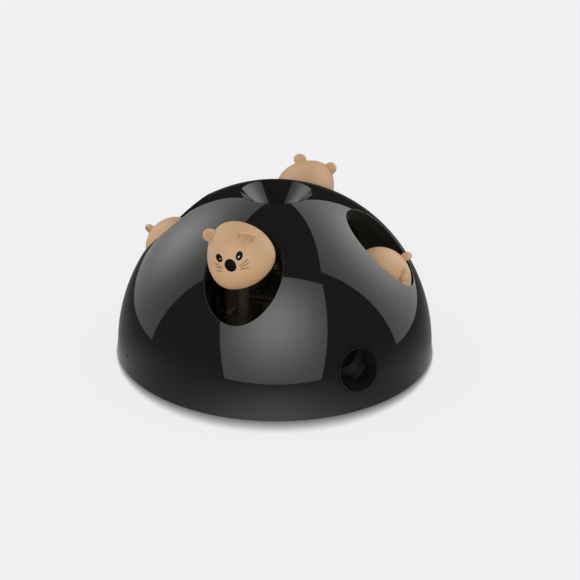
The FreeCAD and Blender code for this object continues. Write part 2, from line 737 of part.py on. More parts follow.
def make_ear(spread):
    """A rounded disc that stands on the head, its flat side to the front."""
    centre = head_direction(EAR_RISE, spread) * EAR_DISTANCE
    back = centre - Vector(EAR_THICKNESS / 2, 0, 0)
    ear = Part.makeCylinder(EAR_RADIUS, EAR_THICKNESS, back, Vector(1, 0, 0))
    rims = [edge for edge in ear.Edges if isinstance(edge.Curve, Part.Circle)]
    return ear.makeFillet(EAR_THICKNESS * 0.4, rims)


def make_eye(spread):
    """A bead set into the face."""
    direction = head_direction(EYE_RISE, spread)
    return Part.makeSphere(EYE_RADIUS, direction * (HEAD_RADIUS - EYE_INSET))


def make_nose():
    """A round nose set into the front of the face."""
    return Part.makeSphere(NOSE_RADIUS, Vector(HEAD_RADIUS - NOSE_INSET, 0, 0))


def head_pieces(peg_height):
    """Skin, eyes and nose of one head, leaning and seated on its stem."""
    eyes = [make_eye(EYE_SPREAD), make_eye(-EYE_SPREAD)]
    nose = make_nose()
    ears = [make_ear(EAR_SPREAD), make_ear(-EAR_SPREAD)]
    skin = Part.makeSphere(HEAD_RADIUS).fuse(ears)
    cavity = Part.makeSphere(HEAD_RADIUS - HEAD_WALL)
    upright = [skin, cavity, *eyes, nose]
    for shape in upright:
        shape.rotate(Vector(0, 0, 0), Vector(1, 0, 0), HEAD_LEAN)
    skin, cavity, eye_left, eye_right, nose = upright
    neck = disc(NECK_RADIUS, -HEAD_RADIUS + HEAD_WALL / 2, NECK_TOP)
    skin = skin.cut(cavity).fuse(neck)
    socket = disc(STEM_RADIUS, -HEAD_RADIUS - 1, STEM_TOP)
    skin = skin.cut([socket, eye_left, eye_right, nose])
    eyes = group([eye_left.copy(), eye_right.copy()])
    return [moved(shape, HOLE_DISTANCE, 0, head_centre(peg_height)) for shape in (skin, eyes, nose)]


# Gears


def involute(base, radius):
    """Polar angle of an involute at a radius."""
    if radius <= base:
        return 0.0
    slope = math.sqrt((radius / base) ** 2 - 1)
    return slope - math.atan(slope)


def gear(module, teeth, low, high, phase, bore):
    """A spur gear. Phase is the direction of the middle of one tooth, in degrees."""
    pitch = module * teeth / 2
    base = pitch * math.cos(math.radians(PRESSURE_ANGLE))
    tip, root = pitch + 0.85 * module, pitch - 1.15 * module
    half_tooth = math.pi / teeth * TOOTH_SHARE + involute(base, pitch)
    flank = [max(base, root), (max(base, root) + tip) / 2, tip]

    def at(radius, angle):
        return Vector(radius * math.cos(angle), radius * math.sin(angle), low)

    edges = []
    for tooth in range(teeth):
        middle = math.radians(phase) + 2 * math.pi * tooth / teeth
        following = middle + 2 * math.pi / teeth
        foot_half = half_tooth - involute(base, flank[0])
        rise = [at(radius, middle - half_tooth + involute(base, radius)) for radius in flank]
        fall = [at(radius, middle + half_tooth - involute(base, radius)) for radius in flank[::-1]]
        root_left, root_right = at(root, middle + foot_half), at(root, following - foot_half)
        start_low = at(root, middle - foot_half)
        if root < flank[0] - 1e-6:
            edges.append(Part.makeLine(start_low, rise[0]))
        edges.append(Part.Arc(*rise).toShape())
        edges.append(Part.Arc(rise[-1], at(tip, middle), fall[0]).toShape())
        edges.append(Part.Arc(*fall).toShape())
        if root < flank[0] - 1e-6:
            edges.append(Part.makeLine(fall[-1], root_left))
        edges.append(Part.Arc(root_left, at(root, middle + math.pi / teeth), root_right).toShape())
    face = Part.Face(Part.Wire(edges))
    body = face.extrude(Vector(0, 0, high - low))
    return body.cut(disc(bore, low - 1, high + 1))


def offset(start, distance, direction):
    """The point a distance away in a direction given in degrees."""
    angle = math.radians(direction)
    return (start[0] + distance * math.cos(angle), start[1] + distance * math.sin(angle))


def meshed_phase(direction, phase, teeth, next_teeth):
    """Phase that puts the next gear's gap over this gear's tooth, along the line of centres."""
    ahead = (direction - phase) % (360.0 / teeth)
    return direction + 180.0 + 180.0 / next_teeth + ahead * teeth / next_teeth


def gear_plan():
    """Centres, turned phases and levels of the train, drawn with the motor's azimuth along +X."""
    reach = OUTPUT_MODULE * (CAM_TEETH + IDLER_TEETH) / 2
    idler = (reach, 0.0)
    third = offset(idler, OUTPUT_MODULE * (IDLER_TEETH + PINION_TEETH) / 2, 0.0)
    second = offset(third, THIRD_MODULE * (WHEEL_TEETH + PINION_TEETH) / 2, SECOND_TURN)
    first = offset(second, SECOND_MODULE * (WHEEL_TEETH + PINION_TEETH) / 2, FIRST_TURN)
    motor = offset(first, FIRST_MODULE * (WHEEL_TEETH + PINION_TEETH) / 2, MOTOR_TURN)
    idler_phase = meshed_phase(0.0, 0.0, CAM_TEETH, IDLER_TEETH)
    third_phase = meshed_phase(0.0, idler_phase, IDLER_TEETH, PINION_TEETH)
    second_phase = meshed_phase(SECOND_TURN, 0.0, WHEEL_TEETH, PINION_TEETH)
    first_phase = meshed_phase(FIRST_TURN, 0.0, WHEEL_TEETH, PINION_TEETH)
    motor_phase = meshed_phase(MOTOR_TURN, 0.0, WHEEL_TEETH, PINION_TEETH)
    third_low = OUTPUT_LEVEL + OUTPUT_FACE + LEVEL_GAP
    second_low = third_low + WHEEL_FACE + LEVEL_GAP
    first_low = second_low + WHEEL_FACE + LEVEL_GAP
    return {
        "idler": (idler, idler_phase, OUTPUT_LEVEL),
        "third": (third, third_phase, third_low),
        "second": (second, second_phase, second_low),
        "first": (first, first_phase, first_low),
        "motor": (motor, motor_phase, first_low),
    }


def cover_underside():
    """Height of the inside of the gearbox cover's top."""
    return gear_plan()["first"][2] + WHEEL_FACE + 2 * LEVEL_GAP


def gear_axles():
    """Centre, radius, lowest gear face and top of each fixed axle."""
    plan = gear_plan()
    starts = {
        "idler": OUTPUT_LEVEL,
        "third": OUTPUT_LEVEL,
        "second": plan["third"][2],
        "first": plan["second"][2],
    }
    rows = []
    for name, low in starts.items():
        top = cover_underside() + 0.8
        if name == "idler":
            top = OUTPUT_LEVEL + OUTPUT_FACE + 1.0
        rows.append((*plan[name][0], AXLE_RADIUS, low, top))
    return rows


def compound_gear(name, wheel_module, pinion_module, pinion_low):
    """A wheel with the pinion under it that drives the next slower gear, turned into place."""
    centre, phase, wheel_low = gear_plan()[name]
    bore = AXLE_RADIUS + RUNNING_CLEARANCE
    wheel = gear(wheel_module, WHEEL_TEETH, wheel_low, wheel_low + WHEEL_FACE, 0.0, bore)
    pinion = gear(pinion_module, PINION_TEETH, pinion_low, wheel_low, phase, bore)
    return turned(moved(joined([wheel, pinion]), *centre), MOTOR_AZIMUTH)


def make_gears():
    """Every turning gear, by name."""
    plan = gear_plan()
    bore = AXLE_RADIUS + RUNNING_CLEARANCE
    output_top = OUTPUT_LEVEL + OUTPUT_FACE
    teeth = gear(OUTPUT_MODULE, CAM_TEETH, OUTPUT_LEVEL, output_top, 0.0, SHAFT_RADIUS)
    web = ring(DRUM_RADIUS - GROOVE_DEPTH, SHAFT_RADIUS, output_top - 0.5, DRUM_BOTTOM)
    idler_centre, idler_phase, _ = plan["idler"]
    idler = gear(OUTPUT_MODULE, IDLER_TEETH, OUTPUT_LEVEL, output_top, idler_phase, bore)
    motor_centre, motor_phase, motor_low = plan["motor"]
    pinion_top = motor_low + WHEEL_FACE
    pinion = gear(FIRST_MODULE, PINION_TEETH, motor_low, pinion_top, motor_phase, MOTOR_SHAFT_RADIUS)
    shaft = disc(MOTOR_SHAFT_RADIUS, motor_low, motor_low + MOTOR_SHAFT_LENGTH)
    return {
        "cam_gear": turned(joined([teeth, web]), MOTOR_AZIMUTH),
        "idler_gear": turned(moved(idler, *idler_centre), MOTOR_AZIMUTH),
        "gear_third": compound_gear("third", THIRD_MODULE, OUTPUT_MODULE, OUTPUT_LEVEL),
        "gear_second": compound_gear("second", SECOND_MODULE, THIRD_MODULE, plan["third"][2]),
        "gear_first": compound_gear("first", FIRST_MODULE, SECOND_MODULE, plan["second"][2]),
        "motor_pinion": turned(moved(joined([pinion, shaft]), *motor_centre), MOTOR_AZIMUTH),
    }


def make_gear_axles():
    """Four fixed steel axles."""
    axles = [disc(radius, PLATE_TOP - 1.2, top, x, y) for x, y, radius, _, top in gear_axles()]
    return group([turned(axle, MOTOR_AZIMUTH) for axle in axles])


def make_gearbox_cover():
    """The cap over the reduction gears, with the collar that grips the motor."""
    plan = gear_plan()
    modules = {"third": THIRD_MODULE, "second": SECOND_MODULE, "first": FIRST_MODULE}
    circles = []
    for name, module in modules.items():
        circles.append((plan[name][0], module * (WHEEL_TEETH / 2 + 1) + COVER_CLEARANCE))
    circles.append((plan["motor"][0], MOTOR_RADIUS + 0.5))
    inside = cover_underside()
    top = inside + COVER_PLATE
    outer = [disc(radius + COVER_WALL, PLATE_TOP, top, *centre) for centre, radius in circles]
    hollow = [disc(radius, PLATE_TOP - 1, inside, *centre) for centre, radius in circles]
    idler_tip = OUTPUT_MODULE * (IDLER_TEETH / 2 + 1) + COVER_CLEARANCE
    idler_x = plan["idler"][0][0]
    door = disc(idler_tip, PLATE_TOP - 1, OUTPUT_LEVEL + OUTPUT_FACE + LEVEL_GAP, idler_x, 0)
    bores = [disc(AXLE_RADIUS, inside - 1, inside + 0.8, x, y) for x, y, _, low, _ in gear_axles()[1:]]
    x, y = plan["motor"][0]
    collar = ring(MOTOR_RADIUS + MOTOR_COLLAR_WALL, MOTOR_RADIUS, top, top + MOTOR_COLLAR_HEIGHT, x, y)
    shaft_bore = disc(MOTOR_SHAFT_RADIUS + 1.0, inside - 1, top + 1, x, y)
    body = outer[0].fuse([*outer[1:], collar])
    cover = joined([body.cut([*hollow, door, *bores, shaft_bore])])
    return turned(cover, MOTOR_AZIMUTH)


def motor_outline(low, high, shrink=0.0):
    """A can with two flats."""
    x, y = gear_plan()["motor"][0]
    can = disc(MOTOR_RADIUS - shrink, low, high, x, y)
    flat = MOTOR_FLAT - shrink
    return can.common(block((x - MOTOR_RADIUS, x + MOTOR_RADIUS), (y - flat, y + flat), (low, high)))


def motor_seat():
    """Height of the cover's top, where the motor stands."""
    return cover_underside() + COVER_PLATE


def make_motor_can():
    """The steel can, with a bore for its shaft."""
    x, y = gear_plan()["motor"][0]
    low = motor_seat()
    can = motor_outline(low, low + MOTOR_LENGTH)
    bore_top = gear_plan()["motor"][2] + MOTOR_SHAFT_LENGTH + 1
    bore = disc(MOTOR_SHAFT_RADIUS + RUNNING_CLEARANCE, low - 1, bore_top, x, y)
    return turned(can.cut(bore), MOTOR_AZIMUTH)


def make_motor_cap():
    """The plastic end cap with its two terminals."""
    x, y = gear_plan()["motor"][0]
    low = motor_seat() + MOTOR_LENGTH
    cap = motor_outline(low, low + MOTOR_CAP_LENGTH, 0.5)
    hub = disc(3.0, low, low + MOTOR_CAP_LENGTH + 1.4, x, y)
    tabs = [
        block(
            (x + TERMINAL_OUT - 0.5, x + TERMINAL_OUT),
            (y + side - 1.2, y + side + 1.2),
            (low + 1, low + MOTOR_CAP_LENGTH + 3.0),
        )
        for side in (-TERMINAL_SIDE, TERMINAL_SIDE)
    ]
    return turned(joined([cap, hub, *tabs]), MOTOR_AZIMUTH)


# Hopper, disc and chute


def hopper_azimuths():
    """Directions of the hopper's three ears, clear of the chute."""
    return [CHUTE_AZIMUTH + 60.0 + 120.0 * index for index in range(3)]


def make_hopper_cup():
    """The cup under the dish: floor with an outlet, wall and three ears."""
    floor_top = HOPPER_BOTTOM + HOPPER_FLOOR
    cup = disc(HOPPER_RADIUS, HOPPER_BOTTOM, HOPPER_TOP).cut(
        disc(HOPPER_RADIUS - HOPPER_WALL, floor_top, HOPPER_TOP + 1)
    )
    ears, cuts = [], [disc(SHAFT_RADIUS + 0.3, HOPPER_BOTTOM - 1, floor_top + 1)]
    for azimuth in hopper_azimuths():
        pad = disc(HOPPER_POST_RADIUS + 0.8, HOPPER_TOP - HOPPER_EAR_WALL, HOPPER_TOP, HOPPER_POST_DISTANCE)
        web = block(
            (HOPPER_RADIUS - HOPPER_WALL, HOPPER_POST_DISTANCE),
            (-HOPPER_POST_RADIUS - 0.8, HOPPER_POST_RADIUS + 0.8),
            (HOPPER_TOP - HOPPER_EAR_WALL, HOPPER_TOP),
        )
        ears.append(turned(pad.fuse(web), azimuth))
        bore = disc(SCREW_RADIUS + SCREW_CLEARANCE, HOPPER_BOTTOM, HOPPER_TOP + 1, HOPPER_POST_DISTANCE)
        cuts.append(turned(bore, azimuth))
    cuts.append(turned(disc(OUTLET_RADIUS, HOPPER_BOTTOM - 1, floor_top + 1, OUTLET_DISTANCE), CHUTE_AZIMUTH))
    inside = disc(HOPPER_RADIUS - HOPPER_WALL, floor_top, HOPPER_TOP + 1)
    return joined([cup.fuse([ear.cut(inside) for ear in ears]).cut(cuts)])


def make_hopper_screws():
    """Three screws up through the ears into the dome's posts."""
    seat = HOPPER_TOP - HOPPER_EAR_WALL
    one = screw(HOPPER_POST_DISTANCE, 0, seat, HOPPER_EAR_WALL + 4.5, SCREW_RADIUS, SCREW_HEAD_RADIUS, 1.4)
    return group([turned(one, azimuth) for azimuth in hopper_azimuths()])


def make_dosing_disc():
    """The pocketed disc on the shaft's top, with a low cone in its middle."""
    low = HOPPER_BOTTOM + HOPPER_FLOOR + DISC_CLEARANCE
    radius = HOPPER_RADIUS - HOPPER_WALL - DISC_CLEARANCE
    plate = disc(radius, low, low + DISC_WALL)
    cone = Part.makeCone(6.0, 2.5, 2.2, Vector(0, 0, low + DISC_WALL))
    cuts = [disc(SHAFT_RADIUS, low - 1, low + DISC_WALL)]
    for index in range(POCKET_COUNT):
        azimuth = CHUTE_AZIMUTH + 60.0 + 360.0 * index / POCKET_COUNT
        cuts.append(turned(disc(POCKET_RADIUS, low - 1, low + DISC_WALL + 1, OUTLET_DISTANCE), azimuth))
    return joined([plate.fuse(cone).cut(cuts)])


def make_hopper_baffle():
    """The shelf that keeps treats from falling straight through the outlet."""
    low = HOPPER_BOTTOM + HOPPER_FLOOR + DISC_CLEARANCE + DISC_WALL + 0.4
    half = math.radians(BAFFLE_SWEEP / 2)
    reach = HOPPER_RADIUS * 2
    wedge = Part.Face(
        Part.makePolygon(
            [
                Vector(0, 0, low),
                Vector(reach, -reach * math.tan(half), low),
                Vector(reach, reach * math.tan(half), low),
                Vector(0, 0, low),
            ]
        )
    ).extrude(Vector(0, 0, BAFFLE_WALL))
    shelf = ring(HOPPER_RADIUS - HOPPER_WALL, 7.0, low, low + BAFFLE_WALL).common(wedge)
    return turned(shelf, CHUTE_AZIMUTH)


def chute_point(distance):
    """A point of the chute's middle line, which passes over the drum's rim."""
    slope_length = math.hypot(1, CHUTE_FALL)
    above_rim = (CHUTE_RADIUS + CHUTE_WALL + CHUTE_GAP) * slope_length
    return Vector(distance, 0, DRUM_TOP + above_rim - (distance - DRUM_RADIUS) * CHUTE_FALL)


def exit_height():
    """Height of the exit's middle line, where the chute comes out."""
    return chute_point(CHUTE_END_DISTANCE).z + EXIT_RISE


def make_treat_chute():
    """The sloping tube and the round exit collar, whose lip follows the dome."""
    high = chute_point(CHUTE_TOP_DISTANCE)
    low = chute_point(CHUTE_END_DISTANCE)
    along = (low - high).normalize()
    start = high - along * 40
    tube_end = low - along * 9
    bore_end = low - along * 4.5
    behind = block((CHUTE_BACK, BASE_RADIUS), (-40, 40), (0, HOPPER_BOTTOM))
    behind_bore = block((CHUTE_BACK + CHUTE_WALL, BASE_RADIUS), (-40, 40), (0, HOPPER_BOTTOM + 1))
    tube = rod_between(CHUTE_RADIUS + CHUTE_WALL, start, tube_end).common(behind)
    bore = rod_between(CHUTE_RADIUS, start, bore_end).common(behind_bore)
    outside = Vector(BASE_RADIUS + 5, 0, exit_height())
    collar = rod_between(EXIT_RADIUS + EXIT_WALL, Vector(EXIT_BACK, 0, exit_height()), outside)
    trim = turned(dome_body(-EXIT_PROUD), 90.0)
    mouth = rod_between(EXIT_RADIUS, Vector(EXIT_BACK + CHUTE_WALL, 0, exit_height()), outside)
    chute = tube.fuse(collar.common(trim)).cut([bore, mouth])
    return turned(joined([chute]), CHUTE_AZIMUTH)


# Battery compartment


def box_outer():
    """Outer limits of the compartment along +X."""
    return BOX_INNER + CELL_COUNT * CELL_PITCH + 2 * BOX_WALL


def box_half_width():
    """Half the compartment's outer width."""
    return CELL_LENGTH / 2 + CELL_NUB_LENGTH / 2 + CELL_END_GAP + BOX_WALL


def door_opening():
    """The hole in the plate that the door fills, with the latch's notch."""
    half = box_half_width() - BOX_WALL
    opening = block(
        (BOX_INNER + BOX_WALL, box_outer() - BOX_WALL), (-half, half), (PLATE_BOTTOM - 1, PLATE_TOP + 1)
    )
    notch_half = DOOR_LATCH_WIDTH / 2 + DOOR_CLEARANCE
    notch = block(
        (box_outer() - BOX_WALL - 1, box_outer() + DOOR_LATCH_LENGTH + DOOR_CLEARANCE),
        (-notch_half, notch_half),
        (PLATE_BOTTOM - 1, PLATE_BOTTOM + DOOR_WALL * 0.6 + DOOR_CLEARANCE),
    )
    return opening.fuse(notch)


def make_battery_box():
    """The tray over the opening, with ribs between the cells."""
    half = box_half_width()
    top = BOX_TOP
    outer = block((BOX_INNER, box_outer()), (-half, half), (PLATE_TOP, top))
    inner = block(
        (BOX_INNER + BOX_WALL, box_outer() - BOX_WALL),
        (-half + BOX_WALL, half - BOX_WALL),
        (PLATE_TOP - 1, top - BOX_WALL),
    )
    ribs = []
    for index in range(1, CELL_COUNT):
        x = BOX_INNER + BOX_WALL + index * CELL_PITCH
        ribs.append(
            block((x - 0.5, x + 0.5), (-half * 0.5, half * 0.5), (top - BOX_WALL - 3.4, top - BOX_WALL + 0.5))
        )
    cells = [cell.copy() for cell in battery_cells()]
    return turned(joined([outer.cut(inner).fuse(ribs).cut(cells)]), BATTERY_AZIMUTH)


def cell_positions():
    """Distance of each cell from the axis, with the end its nub points to."""
    first = BOX_INNER + BOX_WALL + CELL_PITCH / 2
    return [(first + index * CELL_PITCH, 1 if index % 2 else -1) for index in range(CELL_COUNT)]


def battery_cells():
    """Three AA cells side by side, each turned end for end from its neighbour."""
    cells = []
    for x, way in cell_positions():
        start = Vector(x, -way * CELL_LENGTH / 2 - way * CELL_NUB_LENGTH / 2, CELL_CENTRE)
        body_end = start + Vector(0, way * CELL_LENGTH, 0)
        nub_end = body_end + Vector(0, way * CELL_NUB_LENGTH, 0)
        body = rod_between(CELL_RADIUS, start, body_end)
        body = body.makeFillet(0.5, [edge for edge in body.Edges if isinstance(edge.Curve, Part.Circle)])
        nub = rod_between(CELL_NUB_RADIUS, body_end - Vector(0, way, 0), nub_end)
        cells.append(joined([body, nub]))
    return cells


def make_battery_contacts():
    """A sprung plate at both ends of every cell."""
    half = box_half_width() - BOX_WALL
    plates = []
    for x, way in cell_positions():
        for side in (-1, 1):
            wall = side * half
            inner = wall - side * CONTACT_WALL
            plate = block(
                (x - CONTACT_HALF, x + CONTACT_HALF),
                tuple(sorted((wall, inner))),
                (CELL_CENTRE - CONTACT_HALF, CELL_CENTRE + CONTACT_HALF),
            )
            start = Vector(x, inner, CELL_CENTRE)
            cell_end = side * (CELL_LENGTH + CELL_NUB_LENGTH) / 2
            button = rod_between(1.6 if side == way else 3.0, start, Vector(x, cell_end, CELL_CENTRE))
            plates.append(joined([plate, button]))
    return group([turned(plate, BATTERY_AZIMUTH) for plate in plates])


def make_battery_door():
    """The lid, which tips out about its round inner edge, with a latch and grip grooves at the outer one."""
    half = box_half_width() - BOX_WALL - DOOR_CLEARANCE
    inner, outer = BOX_INNER + BOX_WALL + DOOR_CLEARANCE, box_outer() - BOX_WALL - DOOR_CLEARANCE
    axis, middle = inner + DOOR_WALL / 2, PLATE_BOTTOM + DOOR_WALL / 2
    lid = block((axis, outer), (-half, half), (PLATE_BOTTOM, PLATE_BOTTOM + DOOR_WALL))
    knuckle = rod_between(DOOR_WALL / 2, Vector(axis, -half, middle), Vector(axis, half, middle))
    latch = block(
        (outer - 1, box_outer() + DOOR_LATCH_LENGTH),
        (-DOOR_LATCH_WIDTH / 2, DOOR_LATCH_WIDTH / 2),
        (PLATE_BOTTOM, PLATE_BOTTOM + DOOR_WALL * 0.6),
    )
    grooves = []
    for index in range(4):
        x = outer - 3.0 - 1.8 * index
        grooves.append(block((x - 0.4, x + 0.4), (-6, 6), (PLATE_BOTTOM - 1, PLATE_BOTTOM + 0.4)))
    return turned(joined([lid.fuse([knuckle, latch]).cut(grooves)]), BATTERY_AZIMUTH)


# Circuit board, lens and switch


def board_corners():
    """Where the board is screwed down."""
    return [
        (x, y)
        for x in (BOARD_INNER + BOARD_POST_INSET, BOARD_OUTER - BOARD_POST_INSET)
        for y in (-BOARD_POST_SPREAD, BOARD_POST_SPREAD)
    ]


def make_circuit_board():
    """The bare board with its four screw holes."""
    half = BOARD_WIDTH / 2
    board = block((BOARD_INNER, BOARD_OUTER), (-half, half), (BOARD_BOTTOM, BOARD_BOTTOM + BOARD_WALL))
    holes = [
        disc(BOARD_SCREW_RADIUS + 0.1, BOARD_BOTTOM - 1, BOARD_BOTTOM + BOARD_WALL + 1, x, y)
        for x, y in board_corners()
    ]
    return turned(board.cut(holes), BOARD_AZIMUTH)


def make_board_parts():
    """Chip, capacitor, driver, two plugs and the lamp beside the lens."""
    top = BOARD_BOTTOM + BOARD_WALL
    chip = block((76, 84), (-5, 5), (top, top + 1.8))
    driver = block((88, 92), (2, 7), (top, top + 1.6))
    capacitor = disc(3.2, top, top + 8.0, 90.5, -5.5)
    buzzer = disc(5.0, top, top + 5.0, 71.0, 4.0)
    half = BOARD_WIDTH / 2
    battery_plug = block((91.5, 97.5), (-half, -half + 2.8), (top, top + PLUG_HEIGHT))
    motor_plug = block(
        (MOTOR_PLUG_DISTANCE - 3, MOTOR_PLUG_DISTANCE + 3), (half - 5.0, half), (top, top + PLUG_HEIGHT)
    )
    angle = math.radians(LENS_AZIMUTH - BOARD_AZIMUTH + 360.0)
    reach = Vector(math.cos(angle), math.sin(angle), 0)
    lamp_start = reach * (LENS_INNER - 11.5) + Vector(0, 0, LENS_HEIGHT)
    lamp_end = reach * (LENS_INNER - 1.0) + Vector(0, 0, LENS_HEIGHT)
    lamp = rod_between(2.0, lamp_start, lamp_end)
    foot_at = reach * (LENS_INNER - 10.6)
    foot = block((foot_at.x - 0.8, foot_at.x + 0.8), (foot_at.y - 1.4, foot_at.y + 1.4), (top, LENS_HEIGHT))
    pieces = [chip, driver, capacitor, buzzer, battery_plug, motor_plug, joined([lamp, foot])]
    return group([turned(piece, BOARD_AZIMUTH) for piece in pieces])


def make_board_screws():
    """Four screws down into the plate's posts."""
    top = BOARD_BOTTOM + BOARD_WALL
    screws = []
    for x, y in board_corners():
        head = disc(BOARD_SCREW_HEAD_RADIUS, top, top + 1.2, x, y)
        shank = disc(BOARD_SCREW_RADIUS, PLATE_TOP + 0.5, top, x, y)
        slot = block((x - 1.4, x + 1.4), (y - 0.3, y + 0.3), (top + 0.6, top + 2))
        screws.append(turned(joined([head.fuse(shank).cut(slot)]), BOARD_AZIMUTH))
    return group(screws)


def make_status_lens():
    """The light pipe in the small side hole."""
    outer = dome_radius(LENS_HEIGHT) - LENS_RECESS
    pipe = rod_between(LENS_RADIUS, Vector(LENS_INNER, 0, LENS_HEIGHT), Vector(outer, 0, LENS_HEIGHT))
    stop = dome_radius(LENS_HEIGHT + 3, DOME_WALL) - 0.4
    flange = rod_between(2.8, Vector(stop - 1.2, 0, LENS_HEIGHT), Vector(stop, 0, LENS_HEIGHT))
    return turned(joined([pipe, flange]), LENS_AZIMUTH)


def knob_limits():
    """The knob's place at rest, at one end of its slot."""
    start = -(SWITCH_TRAVEL + KNOB_LENGTH) / 2
    return start, start + KNOB_LENGTH


def make_switch_knob():
    """The slider that shows under the base."""
    x = (SWITCH_DISTANCE - KNOB_WIDTH / 2, SWITCH_DISTANCE + KNOB_WIDTH / 2)
    low, high = knob_limits()
    stalk = block(x, (low, high), (KNOB_BOTTOM, PLATE_TOP + 1.6))
    ribs = [
        block((x[0] - 1, x[1] + 1), (at - 0.25, at + 0.25), (KNOB_BOTTOM - 1, KNOB_BOTTOM + 0.3))
        for at in (low + 0.75, low + 1.5, low + 2.25)
    ]
    return turned(stalk.cut(ribs), SWITCH_AZIMUTH)


def make_switch_body():
    """The slide switch on the plate's inner side."""
    half_x, half_y = KNOB_WIDTH / 2 + 2.2, (SWITCH_TRAVEL + KNOB_LENGTH) / 2 + 3.0
    case = block(
        (SWITCH_DISTANCE - half_x, SWITCH_DISTANCE + half_x),
        (-half_y, half_y),
        (PLATE_TOP, PLATE_TOP + SWITCH_HEIGHT),
    )
    room = block(
        (SWITCH_DISTANCE - KNOB_WIDTH / 2 - 0.3, SWITCH_DISTANCE + KNOB_WIDTH / 2 + 0.3),
        (-half_y + 2.7, half_y - 2.7),
        (PLATE_TOP - 1, PLATE_TOP + 2.2),
    )
    pins = [
        block(
            (SWITCH_DISTANCE - 0.4, SWITCH_DISTANCE + 0.4),
            (y - 0.5, y + 0.5),
            (PLATE_TOP + SWITCH_HEIGHT - 0.5, PLATE_TOP + SWITCH_HEIGHT + 2.5),
        )
        for y in (-3.0, 0.0, 3.0)
    ]
    return turned(joined([case.cut(room).fuse(pins)]), SWITCH_AZIMUTH)


def arc_lead(distance, height, start, end):
    """A lead that follows a circle about the axis between two azimuths."""
    middle = (start + end) / 2
    points = [spot(distance, azimuth, height) for azimuth in (start, middle, end)]
    path = Part.Wire(Part.Arc(*points).toShape())
    tangent = AXIS.cross(Vector(points[0].x, points[0].y, 0))
    profile = Part.Wire(Part.makeCircle(LEAD_RADIUS, points[0], tangent))
    return path.makePipeShell([profile], True, True)


def lead_along(points):
    """A lead on straight runs, joined by tangent arcs as large as the runs allow."""
    edges = []
    here = points[0]
    for before, corner, after in zip(points, points[1:], points[2:]):
        back, ahead = before - corner, after - corner
        reach = LEAD_BEND_SHARE * min(back.Length, ahead.Length)
        enter = corner + back.normalize() * reach
        leave = corner + ahead.normalize() * reach
        bisector = (back + ahead).normalize()
        half_turn = (math.pi - back.getAngle(ahead)) / 2
        radius = reach / math.tan(half_turn)
        middle = corner + bisector * (radius / math.cos(half_turn) - radius)
        edges.append(Part.makeLine(here, enter))
        edges.append(Part.Arc(enter, middle, leave).toShape())
        here = leave
    edges.append(Part.makeLine(here, points[-1]))
    profile = Part.Wire(Part.makeCircle(LEAD_RADIUS, points[0], points[1] - points[0]))
    return Part.Wire(edges).makePipeShell([profile], True, True)


def make_motor_leads():
    """The pair of wires from the board's plug, round under the chute, to the motor's terminals."""
    x, y = gear_plan()["motor"][0]
    terminal_height = motor_seat() + MOTOR_LENGTH + MOTOR_CAP_LENGTH + 2.0
    plug_height = BOARD_BOTTOM + BOARD_WALL + PLUG_HEIGHT / 2
    leads = []

    def local_point(azimuth, across, along, height):
        return spot(math.hypot(across, along), azimuth + math.degrees(math.atan2(along, across)), height)

    for index, side in enumerate((-1, 1)):
        inset = index * LEAD_GAP
        ring_radius = MOTOR_LEAD_DISTANCE - inset
        plug_x = MOTOR_PLUG_DISTANCE + LEAD_GAP / 2 - inset
        points = [
            local_point(BOARD_AZIMUTH, plug_x, BOARD_WIDTH / 2, plug_height),
            local_point(BOARD_AZIMUTH, plug_x, BOARD_WIDTH / 2 + 7, plug_height),
        ]
        azimuth = MOTOR_LEAD_START
        while azimuth < MOTOR_AZIMUTH - 24.0:
            points.append(spot(ring_radius, azimuth, MOTOR_LEAD_HEIGHT))
            azimuth += MOTOR_LEAD_STEP
        riser_x = x + MOTOR_LEAD_RISER[0] - side * LEAD_GAP / 2
        riser_y = y + MOTOR_LEAD_RISER[1] + side * 1.5
        points.append(local_point(MOTOR_AZIMUTH, riser_x, riser_y - 6, MOTOR_LEAD_HEIGHT + 1))
        points.append(local_point(MOTOR_AZIMUTH, riser_x, riser_y, MOTOR_LEAD_HEIGHT + 8))
        points.append(local_point(MOTOR_AZIMUTH, riser_x, riser_y, terminal_height - 6))
        points.append(local_point(MOTOR_AZIMUTH, x + 9.0, y + side * TERMINAL_SIDE, terminal_height))
        points.append(local_point(MOTOR_AZIMUTH, x + TERMINAL_OUT, y + side * TERMINAL_SIDE, terminal_height))
        leads.append(lead_along(points))
    return group(leads)


def make_battery_leads():
    """The pair of wires from the compartment's side wall to the board's plug."""
    leads = []
    for distance in (BATTERY_LEAD_DISTANCE - LEAD_GAP, BATTERY_LEAD_DISTANCE):
        start = BATTERY_AZIMUTH + math.degrees(math.asin(box_half_width() / distance)) + LEAD_END_TURN
        end = BOARD_AZIMUTH - math.degrees(math.asin(BOARD_WIDTH / 2 / distance)) - LEAD_END_TURN
        leads.append(arc_lead(distance, BATTERY_LEAD_HEIGHT, start, end))
    return group(leads)


